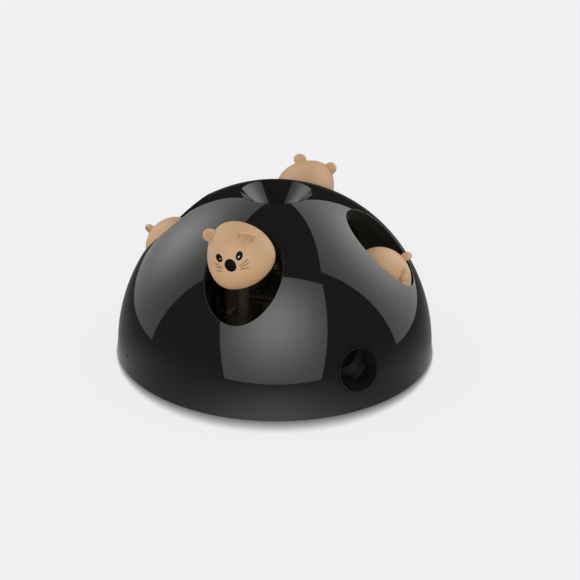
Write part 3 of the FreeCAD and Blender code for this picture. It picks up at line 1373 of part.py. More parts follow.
def main():
    """Write every piece."""
    os.makedirs("parts", exist_ok=True)
    save("dome_shell", make_dome_shell())
    save("base_plate", make_base_plate())
    save("rubber_feet", make_rubber_feet())
    save("case_screws", make_case_screws())
    save("lower_bush", make_lower_bush())
    save("upper_bush", make_upper_bush())
    save("cam_shaft", make_cam_shaft())
    save("cam_drum", make_cam_drum())
    save("guide_rods", make_guide_rods())
    save("top_frame", make_top_frame())
    for name, azimuth in HOLE_AZIMUTHS.items():
        peg_height = PEG_HIGH if name in HIGH_HEADS else PEG_LOW
        save(f"carriage_{name}", turned(make_carriage(peg_height), azimuth))
        save(f"follower_pin_{name}", turned(make_follower_pin(peg_height), azimuth))
        for label, piece in zip(("head", "eyes", "nose"), head_pieces(peg_height)):
            save(f"{label}_{name}", turned(piece, azimuth))
    for name, piece in make_gears().items():
        save(name, piece)
    save("gear_axles", make_gear_axles())
    save("gearbox_cover", make_gearbox_cover())
    save("motor_can", make_motor_can())
    save("motor_cap", make_motor_cap())
    save("hopper_cup", make_hopper_cup())
    save("hopper_screws", make_hopper_screws())
    save("hopper_baffle", make_hopper_baffle())
    save("dosing_disc", make_dosing_disc())
    save("treat_chute", make_treat_chute())
    save("battery_box", make_battery_box())
    save("battery_cells", group([turned(cell, BATTERY_AZIMUTH) for cell in battery_cells()]))
    save("battery_contacts", make_battery_contacts())
    save("battery_door", make_battery_door())
    save("battery_leads", make_battery_leads())
    save("motor_leads", make_motor_leads())
    save("circuit_board", make_circuit_board())
    save("board_parts", make_board_parts())
    save("board_screws", make_board_screws())
    save("status_lens", make_status_lens())
    save("switch_body", make_switch_body())
    save("switch_knob", make_switch_knob())


main()
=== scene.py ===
"""Finished look of a domed cat toy with four rising mouse heads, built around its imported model."""
import json
import math

import bmesh
import bpy
import numpy as np
from mathutils import Matrix, Vector


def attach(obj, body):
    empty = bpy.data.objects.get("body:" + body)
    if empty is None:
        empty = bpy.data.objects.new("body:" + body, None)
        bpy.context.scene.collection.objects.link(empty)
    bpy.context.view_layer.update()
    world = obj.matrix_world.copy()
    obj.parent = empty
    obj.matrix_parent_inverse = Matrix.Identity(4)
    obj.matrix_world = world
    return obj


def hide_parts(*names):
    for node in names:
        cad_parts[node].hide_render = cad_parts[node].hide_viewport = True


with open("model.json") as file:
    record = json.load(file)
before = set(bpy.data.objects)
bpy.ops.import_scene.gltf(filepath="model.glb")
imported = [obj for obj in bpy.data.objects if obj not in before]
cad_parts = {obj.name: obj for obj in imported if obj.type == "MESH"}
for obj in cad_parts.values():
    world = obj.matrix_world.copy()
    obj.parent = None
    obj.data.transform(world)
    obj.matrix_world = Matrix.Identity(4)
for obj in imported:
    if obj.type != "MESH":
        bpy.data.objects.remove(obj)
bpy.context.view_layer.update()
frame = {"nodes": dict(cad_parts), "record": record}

bl_info = {
    "name": "Mouse chase dome",
    "version": (1, 0, 0),
    "blender": (4, 5, 0),
    "location": "View3D > Sidebar > Mouse chase dome",
    "description": "Builds the finished dome, mouse heads, trim and studio around the packed model",
    "category": "Object",
}

MM = 0.001

# Dome sizes, in millimetres
BASE_RADIUS = 122.5
DOME_RISE = 127.6
DOME_WALL = 2.5
LIP_DEPTH = 7.5
DISH_SLOPE = 46.0
HOLE_DISTANCE = 81.2
HOLE_RADIUS = 27.5
HOLE_LEAN = 4.3
HOLE_MIDDLE = 104.0
DISH_REACH = HOLE_RADIUS + 2.0

# How near a point lies to a surface that it belongs to, and how far its face may turn away
ON_SURFACE = 0.03
INSIDE_REACH = 0.4
SAME_FACE = math.cos(math.radians(38.0))
DISH_FACE = math.cos(math.radians(2.0))
SHARP_ANGLE = math.radians(32.0)
# In a copy of a node's mesh, points nearer than this are one, and edges shorter than this go
SAME_POINT = 0.002 * MM
NO_EDGE = 0.0005 * MM
NOWHERE_NEAR = 99.0

# Mouse heads, in millimetres: x is the way the face looks, y the mouse's left, z up.
# Each side: its azimuth, its distance from the middle, its height, and how far its loose head
# turns, nods and leans, in degrees
FRONT_AZIMUTH = -16.0
SIDES = {
    "front": (FRONT_AZIMUTH, 80.4, 104.8, (-4.0, 0.0, 14.0)),
    "right": (FRONT_AZIMUTH + 90.0, 80.4, 67.0, (17.0, 30.7, 12.5)),
    "back": (FRONT_AZIMUTH + 180.0, 79.6, 100.8, (-12.0, 1.5, 9.0)),
    "left": (FRONT_AZIMUTH + 270.0, 78.6, 68.6, (46.6, 20.7, 10.6)),
}
EGG_RADIUS = 23.5
EGG_POINTED = 29.5
EGG_BLUNT = 16.9
EGG_POINTED_CURVE = (1.85, 0.6)
EGG_BLUNT_CURVE = (2.5, 0.47)
EGG_OFFSET = -6.6
EGG_TILT = -5.7
EGG_SEAM = 0.001 * MM
HEAD_VOXEL = 0.5
SOFTEN_FACTOR = 0.5
SOFTEN_STEPS = 6
# The search for the skin along a line: how far both ways, and how many times it is halved
SKIN_REACH = 12.0
SKIN_STEPS = 40
SLOPE_STEP = 0.05

# Each ear: middle of its disc, facing, half width across and up, and the unit of its depth
EARS = (
    ((9.0, -16.6, 20.0), (0.92, 0.25, -0.20), 5.0, 5.0, 6.0),
    ((11.8, 12.6, 17.85), (0.75, -0.12, -0.65), 6.0, 4.8, 5.0),
)
# Radius and depth round an ear, in shares of its sizes, from the middle of its back to its cup
EAR_PROFILE = (
    (0.0, -0.42), (0.45, -0.42), (0.75, -0.34), (0.93, -0.16), (1.0, 0.06), (0.97, 0.20),
    (0.88, 0.29), (0.76, 0.31), (0.62, 0.27), (0.46, 0.21), (0.25, 0.16), (0.0, 0.14),
)
# The stalk between ear and skin: its place on the way, its shares of the ear, its half thickness
STALK_PLACE = 0.4
STALK_SHARES = (0.66, 0.6)
STALK_THICKNESS = 1.9
# Painted shade in an ear, in shares of its size: the cup, partly the ear's own darker tone, then the
# crease round its lower inner side
CUP_RIM = 0.95
CUP_FADE = 0.5
CUP_FLOOR = 0.3
CUP_PAINTED_SHADE = 0.35
CREASE_RING = 1.05
CREASE_WIDTH = 0.35
CREASE_DEPTH = 0.5
CREASE_WAY = (0.65, -0.76)
CREASE_SPREAD = 1.5
CREASE_CORE = 1.2

# Each eye: place, half width, half height, turn, side of the glint and its look; the glint is a painted
# highlight, the dim one a greyer painted reflection
EYES = (
    ((22.5, -7.0, 7.4), 2.2, 3.15, 22.0, 1.0, "dim glint"),
    ((19.3, 6.4, 6.45), 2.35, 3.25, -30.0, -1.0, "glint"),
)
EYE_RIM_SHARES = (1.12, 1.09)
EYE_RIM_LIFT = 0.10
EYE_BASE = 0.04
EYE_LIFT = 0.42
# The glint is a painted highlight on the eye
GLINT_OFFSET = (0.65, -0.7)
GLINT_SIZE = (0.62, 0.75)
GLINT_LIFT = 0.12
# The nose: place, half width, half height and turn
NOSE = ((22.6, -0.1, 1.4), 3.85, 4.6, 12.0)
NOSE_LIFT = 0.95
PATCH_SINK = 0.5
PATCH_REACH = 5.0
# Each whisker: its root and its tip
WHISKERS = (
    ((20.6, 5.5, -0.2), (17.1, 11.4, 2.9)),
    ((20.4, 5.9, -1.5), (17.3, 11.3, 0.4)),
    ((20.4, 5.4, -2.9), (17.4, 10.7, -2.8)),
    ((23.5, -6.0, 0.5), (22.9, -10.8, 4.4)),
    ((23.5, -6.6, 0.0), (23.2, -10.7, 1.7)),
    ((23.3, -7.1, -1.7), (22.9, -11.3, -1.0)),
)
WHISKER_STEPS = 12
WHISKER_SWELL = 2.2
WHISKER_START = 0.45
WHISKER_LIFT = 0.02

# Camera, fitted to the dome's outline, holes and dish
IMAGE_SIZE = 580
CAMERA_PLACE = (0.0, -0.7906, 0.4015)
CAMERA_FORWARD = (0.0129, 0.9111, -0.4120)
CAMERA_UP = (-0.0078, 0.4121, 0.9111)
FOCAL_PIXELS = 1123.5
SENSOR_WIDTH = 36.0

# Studio, in metres
FLOOR_RADIUS = 6.0
FLOOR_COLOUR = (0.880, 0.888, 0.905)
BACKDROP_COLOUR = (0.879, 0.888, 0.905)
# Each lamp: azimuth, tilt from straight down, share of the lamp level, whether it casts shadows
LAMPS = (
    (0.0, 52.0, 0.75, True),
    (114.0, 52.0, 0.4, True),
    (-114.0, 52.0, 0.9, True),
    (0.0, 130.0, 2.1, False),
)
LAMP_WIDTH = math.radians(60.0)
# Each softbox: azimuth, half width, reach of its foot and of its top, height of its top, level
CARDS = {
    "front": (-1.1, 0.2215, 0.408, 0.202, 0.363, 1.15),
    "right": (111.5, 0.220, 0.424, 0.139, 0.399, 1.02),
    "left": (-116.4, 0.261, 0.469, 0.180, 0.477, 0.75),
}
CARD_SHARE = 0.55
ROOM_RADIUS = 3.0
FLAG_LEVEL = 0.012
GLOW_RADIUS = ROOM_RADIUS * 1.2
GLOW_HEIGHT = 0.0002
# The floor's glow in reflections: where it starts and how far it fades, its least level, and its
# shares of the glow's level all round, at both sides of the front and straight in front
GLOW_START = 0.12
GLOW_FADE = 0.11
GLOW_LEAST = 0.05
GLOW_ROUND = 0.38
GLOW_BESIDE = 0.5
GLOW_BESIDE_NARROWING = 3.3
GLOW_IN_FRONT = 2.45
GLOW_FRONT_NARROWING = 12.0


# Nodes


def feed(tree, node, inputs):
    """Feed a node's inputs with values or sockets."""
    for key, value in dict(inputs).items():
        if isinstance(value, bpy.types.NodeSocket):
            tree.links.new(value, node.inputs[key])
        else:
            node.inputs[key].default_value = value
    return node


def wire(tree, kind, inputs=(), **settings):
    """Add a node, set its options and feed its inputs with values or sockets."""
    node = tree.nodes.new(kind)
    for key, value in settings.items():
        setattr(node, key, value)
    return feed(tree, node, inputs)


def calc(tree, operation, *values, clamp=False):
    """One math node's result."""
    node = wire(tree, "ShaderNodeMath", enumerate(values), operation=operation, use_clamp=clamp)
    return node.outputs[0]


def times(tree, first, *others, clamp=False):
    """The product of several values."""
    for other in others:
        first = calc(tree, "MULTIPLY", first, other, clamp=clamp)
    return first


def fading(tree, value):
    """One where the value is zero, falling away as it grows."""
    return calc(tree, "EXPONENT", times(tree, value, -1.0))


def blended(tree, share, first, second, kind="RGBA"):
    """One mix node's result."""
    offset = {"FLOAT": 2, "RGBA": 6}[kind]
    node = wire(tree, "ShaderNodeMix", {0: share, offset: first, offset + 1: second}, data_type=kind)
    return node.outputs[{"FLOAT": 0, "RGBA": 2}[kind]]


def new_group(name, kind, inputs, outputs):
    """A node group with named sockets; gives the tree, its input sockets and its output node."""
    tree = bpy.data.node_groups.new(name, kind)
    for label, socket, default in inputs:
        item = tree.interface.new_socket(label, in_out="INPUT", socket_type=socket)
        if default is not None:
            item.default_value = default
    for label, socket in outputs:
        tree.interface.new_socket(label, in_out="OUTPUT", socket_type=socket)
    return tree, tree.nodes.new("NodeGroupInput").outputs, tree.nodes.new("NodeGroupOutput").inputs


def number_group(name, result, **numbers):
    """A shader group whose inputs and result are numbers."""
    inputs = [(label, "NodeSocketFloat", value) for label, value in numbers.items()]
    return new_group(name, "ShaderNodeTree", inputs, ((result, "NodeSocketFloat"),))


def object_place(tree):
    """Object coordinates."""
    return wire(tree, "ShaderNodeTexCoord").outputs["Object"]


def distance_out(tree):
    """Distance from the object's origin."""
    inputs = {0: object_place(tree)}
    return wire(tree, "ShaderNodeVectorMath", inputs, operation="LENGTH").outputs["Value"]


def noise(tree, place, scale, detail=3.0, roughness=0.5):
    """A noise value from 0 to 1."""
    inputs = {"Vector": place, "Scale": scale, "Detail": detail, "Roughness": roughness}
    return wire(tree, "ShaderNodeTexNoise", inputs).outputs[0]


def ranged(tree, value, low, high, new_low=0.0, new_high=1.0):
    """A value moved from one range to another, clamped."""
    inputs = {0: value, 1: low, 2: high, 3: new_low, 4: new_high}
    return wire(tree, "ShaderNodeMapRange", inputs).outputs[0]


def tone_drift_group():
    """Slow change of tone over a moulded surface."""
    tree, given, out = new_group(
        "tone drift",
        "ShaderNodeTree",
        (
            ("Colour", "NodeSocketColor", (0.5, 0.5, 0.5, 1.0)),
            ("Amount", "NodeSocketFloat", 0.1),
            ("Scale", "NodeSocketFloat", 30.0),
        ),
        (("Colour", "NodeSocketColor"),),
    )
    place = object_place(tree)
    wide = noise(tree, place, given["Scale"], 2.0)
    fine = noise(tree, place, times(tree, given["Scale"], 9.0), 3.0, 0.6)
    both = calc(tree, "ADD", times(tree, wide, 0.7), times(tree, fine, 0.3))
    swing = times(tree, calc(tree, "SUBTRACT", both, 0.5), given["Amount"])
    level = calc(tree, "MULTIPLY_ADD", swing, 2.0, 1.0)
    toned = wire(tree, "ShaderNodeVectorMath", {0: given["Colour"], "Scale": level}, operation="SCALE")
    tree.links.new(toned.outputs[0], out["Colour"])
    return tree


def moulded_grain_group():
    """Height of a moulded or sprayed surface: slow waves and a fine grain."""
    tree, given, out = number_group("moulded grain", "Height", Scale=900.0, Waviness=0.5)
    place = object_place(tree)
    grain = noise(tree, place, given["Scale"], 2.0, 0.55)
    waves = noise(tree, place, times(tree, given["Scale"], 0.12), 1.0, 0.4)
    height = blended(tree, given["Waviness"], grain, waves, "FLOAT")
    tree.links.new(height, out["Height"])
    return tree


def fine_scuffs_group():
    """Mask of sparse hair lines that run many ways."""
    tree, given, out = number_group("fine scuffs", "Mask", Scale=30.0, Amount=0.5)
    place = object_place(tree)
    lines = []
    for spin, stretch in ((0.4, (1.0, 14.0, 3.0)), (1.9, (12.0, 1.0, 5.0)), (2.9, (3.0, 9.0, 1.0))):
        turned = wire(tree, "ShaderNodeMapping", {"Vector": place, "Rotation": (spin, spin * 0.6, spin)})
        drawn = wire(tree, "ShaderNodeMapping", {"Vector": turned.outputs[0], "Scale": stretch})
        hair = noise(tree, drawn.outputs[0], given["Scale"], 4.0, 0.65)
        lines.append(ranged(tree, hair, 0.66, 0.70))
    crossed = calc(tree, "MAXIMUM", calc(tree, "MAXIMUM", lines[0], lines[1]), lines[2])
    patches = ranged(tree, noise(tree, place, times(tree, given["Scale"], 0.5)), 0.42, 0.62)
    mask = times(tree, crossed, patches, given["Amount"], clamp=True)
    tree.links.new(mask, out["Mask"])
    return tree


def settled_dust_group():
    """Mask of dust specks and a faint film on the faces that look up."""
    tree, given, out = number_group("settled dust", "Mask", Specks=0.5, Film=0.1)
    place = object_place(tree)
    normal = wire(tree, "ShaderNodeNewGeometry").outputs["Normal"]
    upward = ranged(tree, wire(tree, "ShaderNodeSeparateXYZ", {0: normal}).outputs["Z"], 0.1, 0.95)
    cells = wire(tree, "ShaderNodeTexVoronoi", {"Vector": place, "Scale": 420.0, "Randomness": 1.0})
    dots = ranged(tree, cells.outputs["Distance"], 0.02, 0.09, 1.0, 0.0)
    chosen = ranged(tree, noise(tree, place, 95.0, 2.0), 0.55, 0.66)
    specks = times(tree, dots, chosen, given["Specks"])
    film = times(tree, ranged(tree, noise(tree, place, 22.0, 5.0), 0.3, 0.8), given["Film"])
    mask = times(tree, calc(tree, "ADD", specks, film), upward, clamp=True)
    tree.links.new(mask, out["Mask"])
    return tree


def brushed_lines_group():
    """Height of turned or drawn metal: fine lines round or along the upright axis."""
    tree, given, out = number_group("brushed lines", "Height", Scale=900.0, Stretch=0.04)
    parts = wire(tree, "ShaderNodeSeparateXYZ", {0: object_place(tree)})
    across = [times(tree, parts.outputs[axis], given["Stretch"]) for axis in (0, 1)]
    flat = wire(tree, "ShaderNodeCombineXYZ", {0: across[0], 1: across[1], 2: parts.outputs[2]})
    tree.links.new(noise(tree, flat.outputs[0], given["Scale"], 3.0, 0.7), out["Height"])
    return tree


GROUP_MAKERS = {
    "tone drift": tone_drift_group,
    "moulded grain": moulded_grain_group,
    "fine scuffs": fine_scuffs_group,
    "settled dust": settled_dust_group,
    "brushed lines": brushed_lines_group,
}


def placed(tree, name, **inputs):
    """A shared effect placed in a material, with its own values."""
    group = bpy.data.node_groups.get(name) or GROUP_MAKERS[name]()
    return wire(tree, "ShaderNodeGroup", inputs, node_tree=group).outputs[0]


def rgba(colour):
    """A colour with full alpha."""
    return (*colour[:3], 1.0)


DUST_COLOUR = (0.42, 0.40, 0.37, 1.0)
DUST_ROUGHNESS = 0.6
SCUFF_ROUGHNESS = 0.22
# Patches of more and less shine: their scale, the least share of the roughness and its swing
SHINE_PATCHES = 60.0
SHINE_LEAST = 0.85
SHINE_SWING = 0.3


def new_material(name):
    """A material and its node tree."""
    material = bpy.data.materials.new(name)
    material.use_nodes = True
    return material, material.node_tree


def make_finish(
    name,
    colour,
    roughness,
    metallic=0.0,
    drift=0.08,
    drift_scale=25.0,
    grain=(900.0, 0.4),
    depth=0.02,
    lines=0.0,
    scuffs=0.0,
    specks=0.0,
    film=0.0,
    shine=0.5,
    tint=(1.0, 1.0, 1.0),
    shade=None,
):
    """A procedural material: toned colour, grain or drawn lines, scuffs and dust; the colour may carry a
    painted light and shade factor, and painted shade from an attribute.
    """
    material, tree = new_material(name)
    shader = tree.nodes["Principled BSDF"]
    # The colour scaled by its painted light and shade factor
    toned = tuple(level * share for level, share in zip(colour, tint))
    base = placed(tree, "tone drift", Colour=rgba(toned), Amount=drift, Scale=drift_scale)
    # Painted shade from a mesh attribute, blended into the base colour
    if shade:
        attribute, painted_shade_colour = shade
        mask = wire(tree, "ShaderNodeAttribute", attribute_name=attribute).outputs["Fac"]
        base = blended(tree, mask, base, rgba(painted_shade_colour))
    patches = noise(tree, object_place(tree), SHINE_PATCHES)
    rough = calc(tree, "MULTIPLY_ADD", patches, roughness * SHINE_SWING, roughness * SHINE_LEAST)
    height = placed(tree, "moulded grain", Scale=grain[0], Waviness=grain[1])
    if lines:
        height = blended(tree, lines, height, placed(tree, "brushed lines"), "FLOAT")
    if scuffs:
        marks = placed(tree, "fine scuffs", Amount=scuffs)
        rough = calc(tree, "MULTIPLY_ADD", marks, SCUFF_ROUGHNESS, rough)
    if specks or film:
        dust = placed(tree, "settled dust", Specks=specks, Film=film)
        base = blended(tree, dust, base, DUST_COLOUR)
        rough = calc(tree, "MULTIPLY_ADD", dust, DUST_ROUGHNESS, rough, clamp=True)
    bump = wire(tree, "ShaderNodeBump", {"Height": height, "Distance": depth * MM, "Strength": 1.0})
    feed(tree, shader, {"Base Color": base, "Roughness": rough, "Normal": bump.outputs[0]})
    feed(tree, shader, {"Metallic": metallic, "Specular IOR Level": shine})
    return material


# Factors on the record's colours, so that the parts inside the dome match the photo's tones: painted
# light and shade. The first two lift blacks that stand in the dome's shade, the third warms and darkens a
# black, the last darkens bronze and ground steel
INNER_PAINTED_LIGHT = (1.6, 1.4, 0.95)
DRUM_PAINTED_LIGHT = (3.4, 3.0, 2.0)
FRAME_PAINTED_SHADE = (1.0, 0.87, 0.58)
METAL_PAINTED_SHADE = (0.35, 0.34, 0.32)


def moulded(roughness, scale, waviness, depth, **more):
    """A moulded plastic, rubber or lacquer: grain with slow waves."""
    return dict(roughness=roughness, grain=(scale, waviness), depth=depth, **more)


def matte(roughness, scale, depth, drift, **more):
    """A matte plastic: hardly any waves."""
    return moulded(roughness, scale, 0.2, depth, drift=drift, **more)


def metal(roughness, drift, lines, depth, scuffs, **more):
    """A turned, drawn or plated metal: fine lines and scuffs."""
    more = {"metallic": 1.0, **more}
    return dict(roughness=roughness, drift=drift, lines=lines, depth=depth, scuffs=scuffs, **more)


# How each finish of the record is made; its colour comes from the record, scaled for the parts inside the
# dome by a painted light and shade factor
FINISHES = {
    "dome_black": moulded(0.035, 160.0, 0.7, 0.004, drift=0.05, scuffs=0.12, specks=0.25, film=0.004),
    "inner_black": matte(0.7, 1400.0, 0.05, 0.15, shine=0.1, tint=INNER_PAINTED_LIGHT),
    "mechanism_black": matte(0.7, 1400.0, 0.05, 0.15, shine=0.05, tint=FRAME_PAINTED_SHADE),
    "foot_rubber": moulded(0.8, 1100.0, 0.3, 0.12, drift=0.2, film=0.05),
    "screw_steel": metal(0.32, 0.1, 0.6, 0.01, 0.6),
    "bush_bronze": metal(0.5, 0.2, 0.7, 0.015, 0.4, tint=METAL_PAINTED_SHADE),
    "ground_steel": metal(0.3, 0.08, 0.8, 0.008, 0.3, tint=METAL_PAINTED_SHADE),
    "oxide_steel": metal(0.4, 0.2, 0.5, 0.01, 0.5),
    "motor_steel": metal(0.3, 0.1, 0.6, 0.01, 0.5),
    "gear_brass": metal(0.3, 0.15, 0.5, 0.01, 0.4),
    "natural_nylon": moulded(0.45, 1200.0, 0.3, 0.03, drift=0.08, scuffs=0.2),
    "slide_black": moulded(0.6, 1200.0, 0.3, 0.03, drift=0.12, shine=0.05, tint=DRUM_PAINTED_LIGHT),
    "mouse_tan": moulded(0.6, 1500.0, 0.35, 0.03, drift=0.035, drift_scale=18.0, film=0.01),
    "bead_black": moulded(0.16, 700.0, 0.6, 0.006, drift=0.1, scuffs=0.1),
    "cell_jacket": metal(0.35, 0.1, 0.3, 0.01, 0.5, metallic=0.6),
    "contact_nickel": metal(0.18, 0.08, 0.5, 0.006, 0.5),
    "lead_sleeve": moulded(0.45, 800.0, 0.5, 0.02, drift=0.12, film=0.03),
    "board_green": moulded(0.3, 700.0, 0.6, 0.01, drift=0.15, scuffs=0.2, film=0.03),
    "part_black": matte(0.5, 1500.0, 0.03, 0.15, film=0.03),
    "lens_dark": moulded(0.08, 300.0, 0.7, 0.004, drift=0.1, scuffs=0.1),
}

# The matte walls of the head holes and the matte underside of the dome, in painted colours: the hole
# walls darker than the dome's black as painted shade, the underside lighter as painted light
INSIDE_PAINTED_COLOURS = {"hole wall": (0.009, 0.0078, 0.0052), "dome underside painted light": (0.036, 0.031, 0.020)}
INSIDE_FINISH = dict(roughness=0.8, drift=0.1, grain=(1200.0, 0.3), depth=0.04, shine=0.1)


def slot_finish(slot):
    """The material of one of the record's slots, made once."""
    known = bpy.data.materials.get(f"finish {slot}")
    if known:
        return known
    colour = next(row["base_color"] for row in frame["record"]["materials"] if row["slot"] == slot)
    return make_finish(f"finish {slot}", colour, **FINISHES[slot])


# Meshes


def new_object(name, mesh):
    """An object at the origin that shows a mesh."""
    piece = bpy.data.objects.new(name, mesh)
    bpy.context.scene.collection.objects.link(piece)
    return piece


def settle(piece, body, slot, *nodes):
    """Give a finished piece its body and hide the nodes it stands for; the slot is not used."""
    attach(piece, body)
    if nodes:
        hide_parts(*nodes)


def applied(piece, name):
    """The piece's mesh with its modifiers applied; the piece itself is removed."""
    graph = bpy.context.evaluated_depsgraph_get()
    graph.update()
    mesh = bpy.data.meshes.new_from_object(piece.evaluated_get(graph))
    mesh.name = name
    bpy.data.objects.remove(piece)
    return mesh


def merged_copy(node):
    """A node's mesh as one joined surface, with its doubles merged."""
    mesh = frame["nodes"][node].data.copy()
    shape = bmesh.new()
    shape.from_mesh(mesh)
    bmesh.ops.remove_doubles(shape, verts=shape.verts, dist=SAME_POINT)
    bmesh.ops.dissolve_degenerate(shape, edges=shape.edges, dist=NO_EDGE)
    shape.to_mesh(mesh)
    shape.free()
    if mesh.attributes.get("custom_normal"):
        mesh.attributes.remove(mesh.attributes["custom_normal"])
    mesh.polygons.foreach_set("use_smooth", [True] * len(mesh.polygons))
    mesh.set_sharp_from_angle(angle=SHARP_ANGLE)
    mesh.update()
    return mesh


def made_mesh(shape, name):
    """A finished shape as a mesh."""
    mesh = bpy.data.meshes.new(name)
    shape.to_mesh(mesh)
    shape.free()
    return mesh


def read_rows(items, key):
    """A vector of every item of a mesh."""
    values = np.empty(len(items) * 3, dtype=np.float32)
    items.foreach_get(key, values)
    return values.reshape(-1, 3).astype(float)


def read_numbers(items, key):
    """A whole number of every item of a mesh."""
    values = np.empty(len(items), dtype=np.int32)
    items.foreach_get(key, values)
    return values


def unit(rows):
    """Rows of vectors brought to length one."""
    return rows / np.maximum(np.linalg.norm(rows, axis=1, keepdims=True), 1e-12)


def ellipsoid_rule(inset, side):
    """Distance and normal of the dome's rounded surfaces; side is -1 for one seen from inside."""
    radius, rise = BASE_RADIUS - inset, DOME_RISE - inset

    def rule(points):
        scaled = points / (radius, radius, rise)
        gap = (np.linalg.norm(scaled, axis=1) - 1.0) * radius
        return gap, unit(points / (radius**2, radius**2, rise**2)) * side

    return rule


def cone_rule(points, normals):
    """Distance and normal of the dish, whose height is read from the faces with its slope."""
    slope = math.radians(DISH_SLOPE)

    def reach_and_lean(places):
        reach = np.hypot(places[:, 0], places[:, 1])
        outward = places[:, :2] / np.maximum(reach, 1e-9)[:, None]
        upward = np.full(len(places), math.cos(slope))
        return reach, np.column_stack([-math.sin(slope) * outward, upward])

    reach, lean = reach_and_lean(points)
    on_cone = (normals * lean).sum(axis=1) > DISH_FACE
    height = np.median((points[:, 2] - reach * math.tan(slope))[on_cone])

    def rule(places):
        reach, lean = reach_and_lean(places)
        gap = (places[:, 2] - reach * math.tan(slope) - height) * math.cos(slope)
        return np.where(reach > DISH_REACH, NOWHERE_NEAR, gap), lean

    return rule


def bore_rule(azimuth):
    """Distance and normal of one head hole's wall, which leans outwards."""
    angle, lean = math.radians(azimuth), math.radians(HOLE_LEAN)
    outward = np.array([math.sin(angle), -math.cos(angle), 0.0])
    middle = outward * HOLE_DISTANCE + (0.0, 0.0, HOLE_MIDDLE)
    axis = outward * math.sin(lean) + (0.0, 0.0, math.cos(lean))

    def rule(points):
        arms = points - middle
        across = arms - np.outer(arms @ axis, axis)
        reach = np.linalg.norm(across, axis=1)
        return reach - HOLE_RADIUS, -across / np.maximum(reach, 1e-9)[:, None]

    return rule


def bore_rules():
    """The rules of all head holes."""
    return [bore_rule(azimuth) for azimuth, *_place in SIDES.values()]


def dull_inside(mesh):
    """Give the hole walls the second material, painted shade, and the dome's underside the third, painted
    light.
    """
    points = read_rows(mesh.polygons, "center") / MM
    faces = read_rows(mesh.polygons, "normal")
    inside = np.zeros(len(points), dtype=np.int32)
    rules = [(2, ellipsoid_rule(DOME_WALL, -1.0)), (2, ellipsoid_rule(LIP_DEPTH, -1.0))]
    rules += [(1, rule) for rule in bore_rules()]
    for number, rule in rules:
        gap, exact = rule(points)
        inside[(np.abs(gap) < INSIDE_REACH) & ((faces * exact).sum(axis=1) > SAME_FACE)] = number
    mesh.polygons.foreach_set("material_index", inside)


def true_normals(mesh):
    """Set each corner's normal from the surface that it lies on, so that reflections run true."""
    points = read_rows(mesh.vertices, "co")[read_numbers(mesh.loops, "vertex_index")] / MM
    normals = read_rows(mesh.corner_normals, "vector")
    corners = read_numbers(mesh.polygons, "loop_total")
    faces = np.repeat(read_rows(mesh.polygons, "normal"), corners, axis=0)
    rules = [*bore_rules(), cone_rule(points, faces)]
    rules += [ellipsoid_rule(DOME_WALL, -1.0), ellipsoid_rule(LIP_DEPTH, -1.0), ellipsoid_rule(0.0, 1.0)]
    for rule in rules:
        gap, exact = rule(points)
        fits = (np.abs(gap) < ON_SURFACE) & ((faces * exact).sum(axis=1) > SAME_FACE)
        normals[fits] = exact[fits]
    mesh.normals_split_custom_set(unit(normals).tolist())


# Mouse heads


def turn(axis, degrees):
    """A rotation about one axis."""
    return Matrix.Rotation(math.radians(degrees), 4, axis)


def head_matrix(side):
    """From a head's own axes, in metres, to its place in the toy."""
    azimuth, distance, height, (turned, nod, lean) = SIDES[side]
    angle = math.radians(azimuth)
    middle = Vector((distance * math.sin(angle), -distance * math.cos(angle), height)) * MM
    place = Matrix.Translation(middle) @ turn("Z", azimuth + turned - 90.0)
    return place @ turn("Y", nod) @ turn("X", lean)


def egg_radius(along):
    """The head's radius at a distance along its axis, in millimetres."""
    length, (power, fullness) = EGG_BLUNT, EGG_BLUNT_CURVE
    if along >= 0:
        length, (power, fullness) = EGG_POINTED, EGG_POINTED_CURVE
    share = min(abs(along) / length, 1.0)
    return EGG_RADIUS * (1.0 - share**power) ** fullness


def outside_egg(point):
    """How far a point, in millimetres, lies outside the head's skin, measured across its axis."""
    own = turn("X", -EGG_TILT) @ point
    return math.hypot(own.x, own.z) - egg_radius(own.y - EGG_OFFSET)


def on_skin(point, way, reach=SKIN_REACH):
    """The place on the skin that a line through the point meets, along the way given."""
    low, high = -reach, reach
    for _step in range(SKIN_STEPS):
        middle = (low + high) / 2
        if outside_egg(point + way * middle) > 0:
            high = middle
        else:
            low = middle
    return point + way * ((low + high) / 2)


def skin_normal(point):
    """The skin's outward direction near a point."""
    steps = [Vector(axis) * SLOPE_STEP for axis in ((1, 0, 0), (0, 1, 0), (0, 0, 1))]
    slopes = [outside_egg(point + step) - outside_egg(point - step) for step in steps]
    return Vector(slopes).normalized()


MESH_OUT = (("Geometry", "NodeSocketGeometry"),)


def painted(tree, whole, material, out):
    """End a geometry tree with a material."""
    inputs = {"Geometry": whole.outputs[0], "Material": material}
    tree.links.new(wire(tree, "GeometryNodeSetMaterial", inputs).outputs[0], out[0])
    return tree


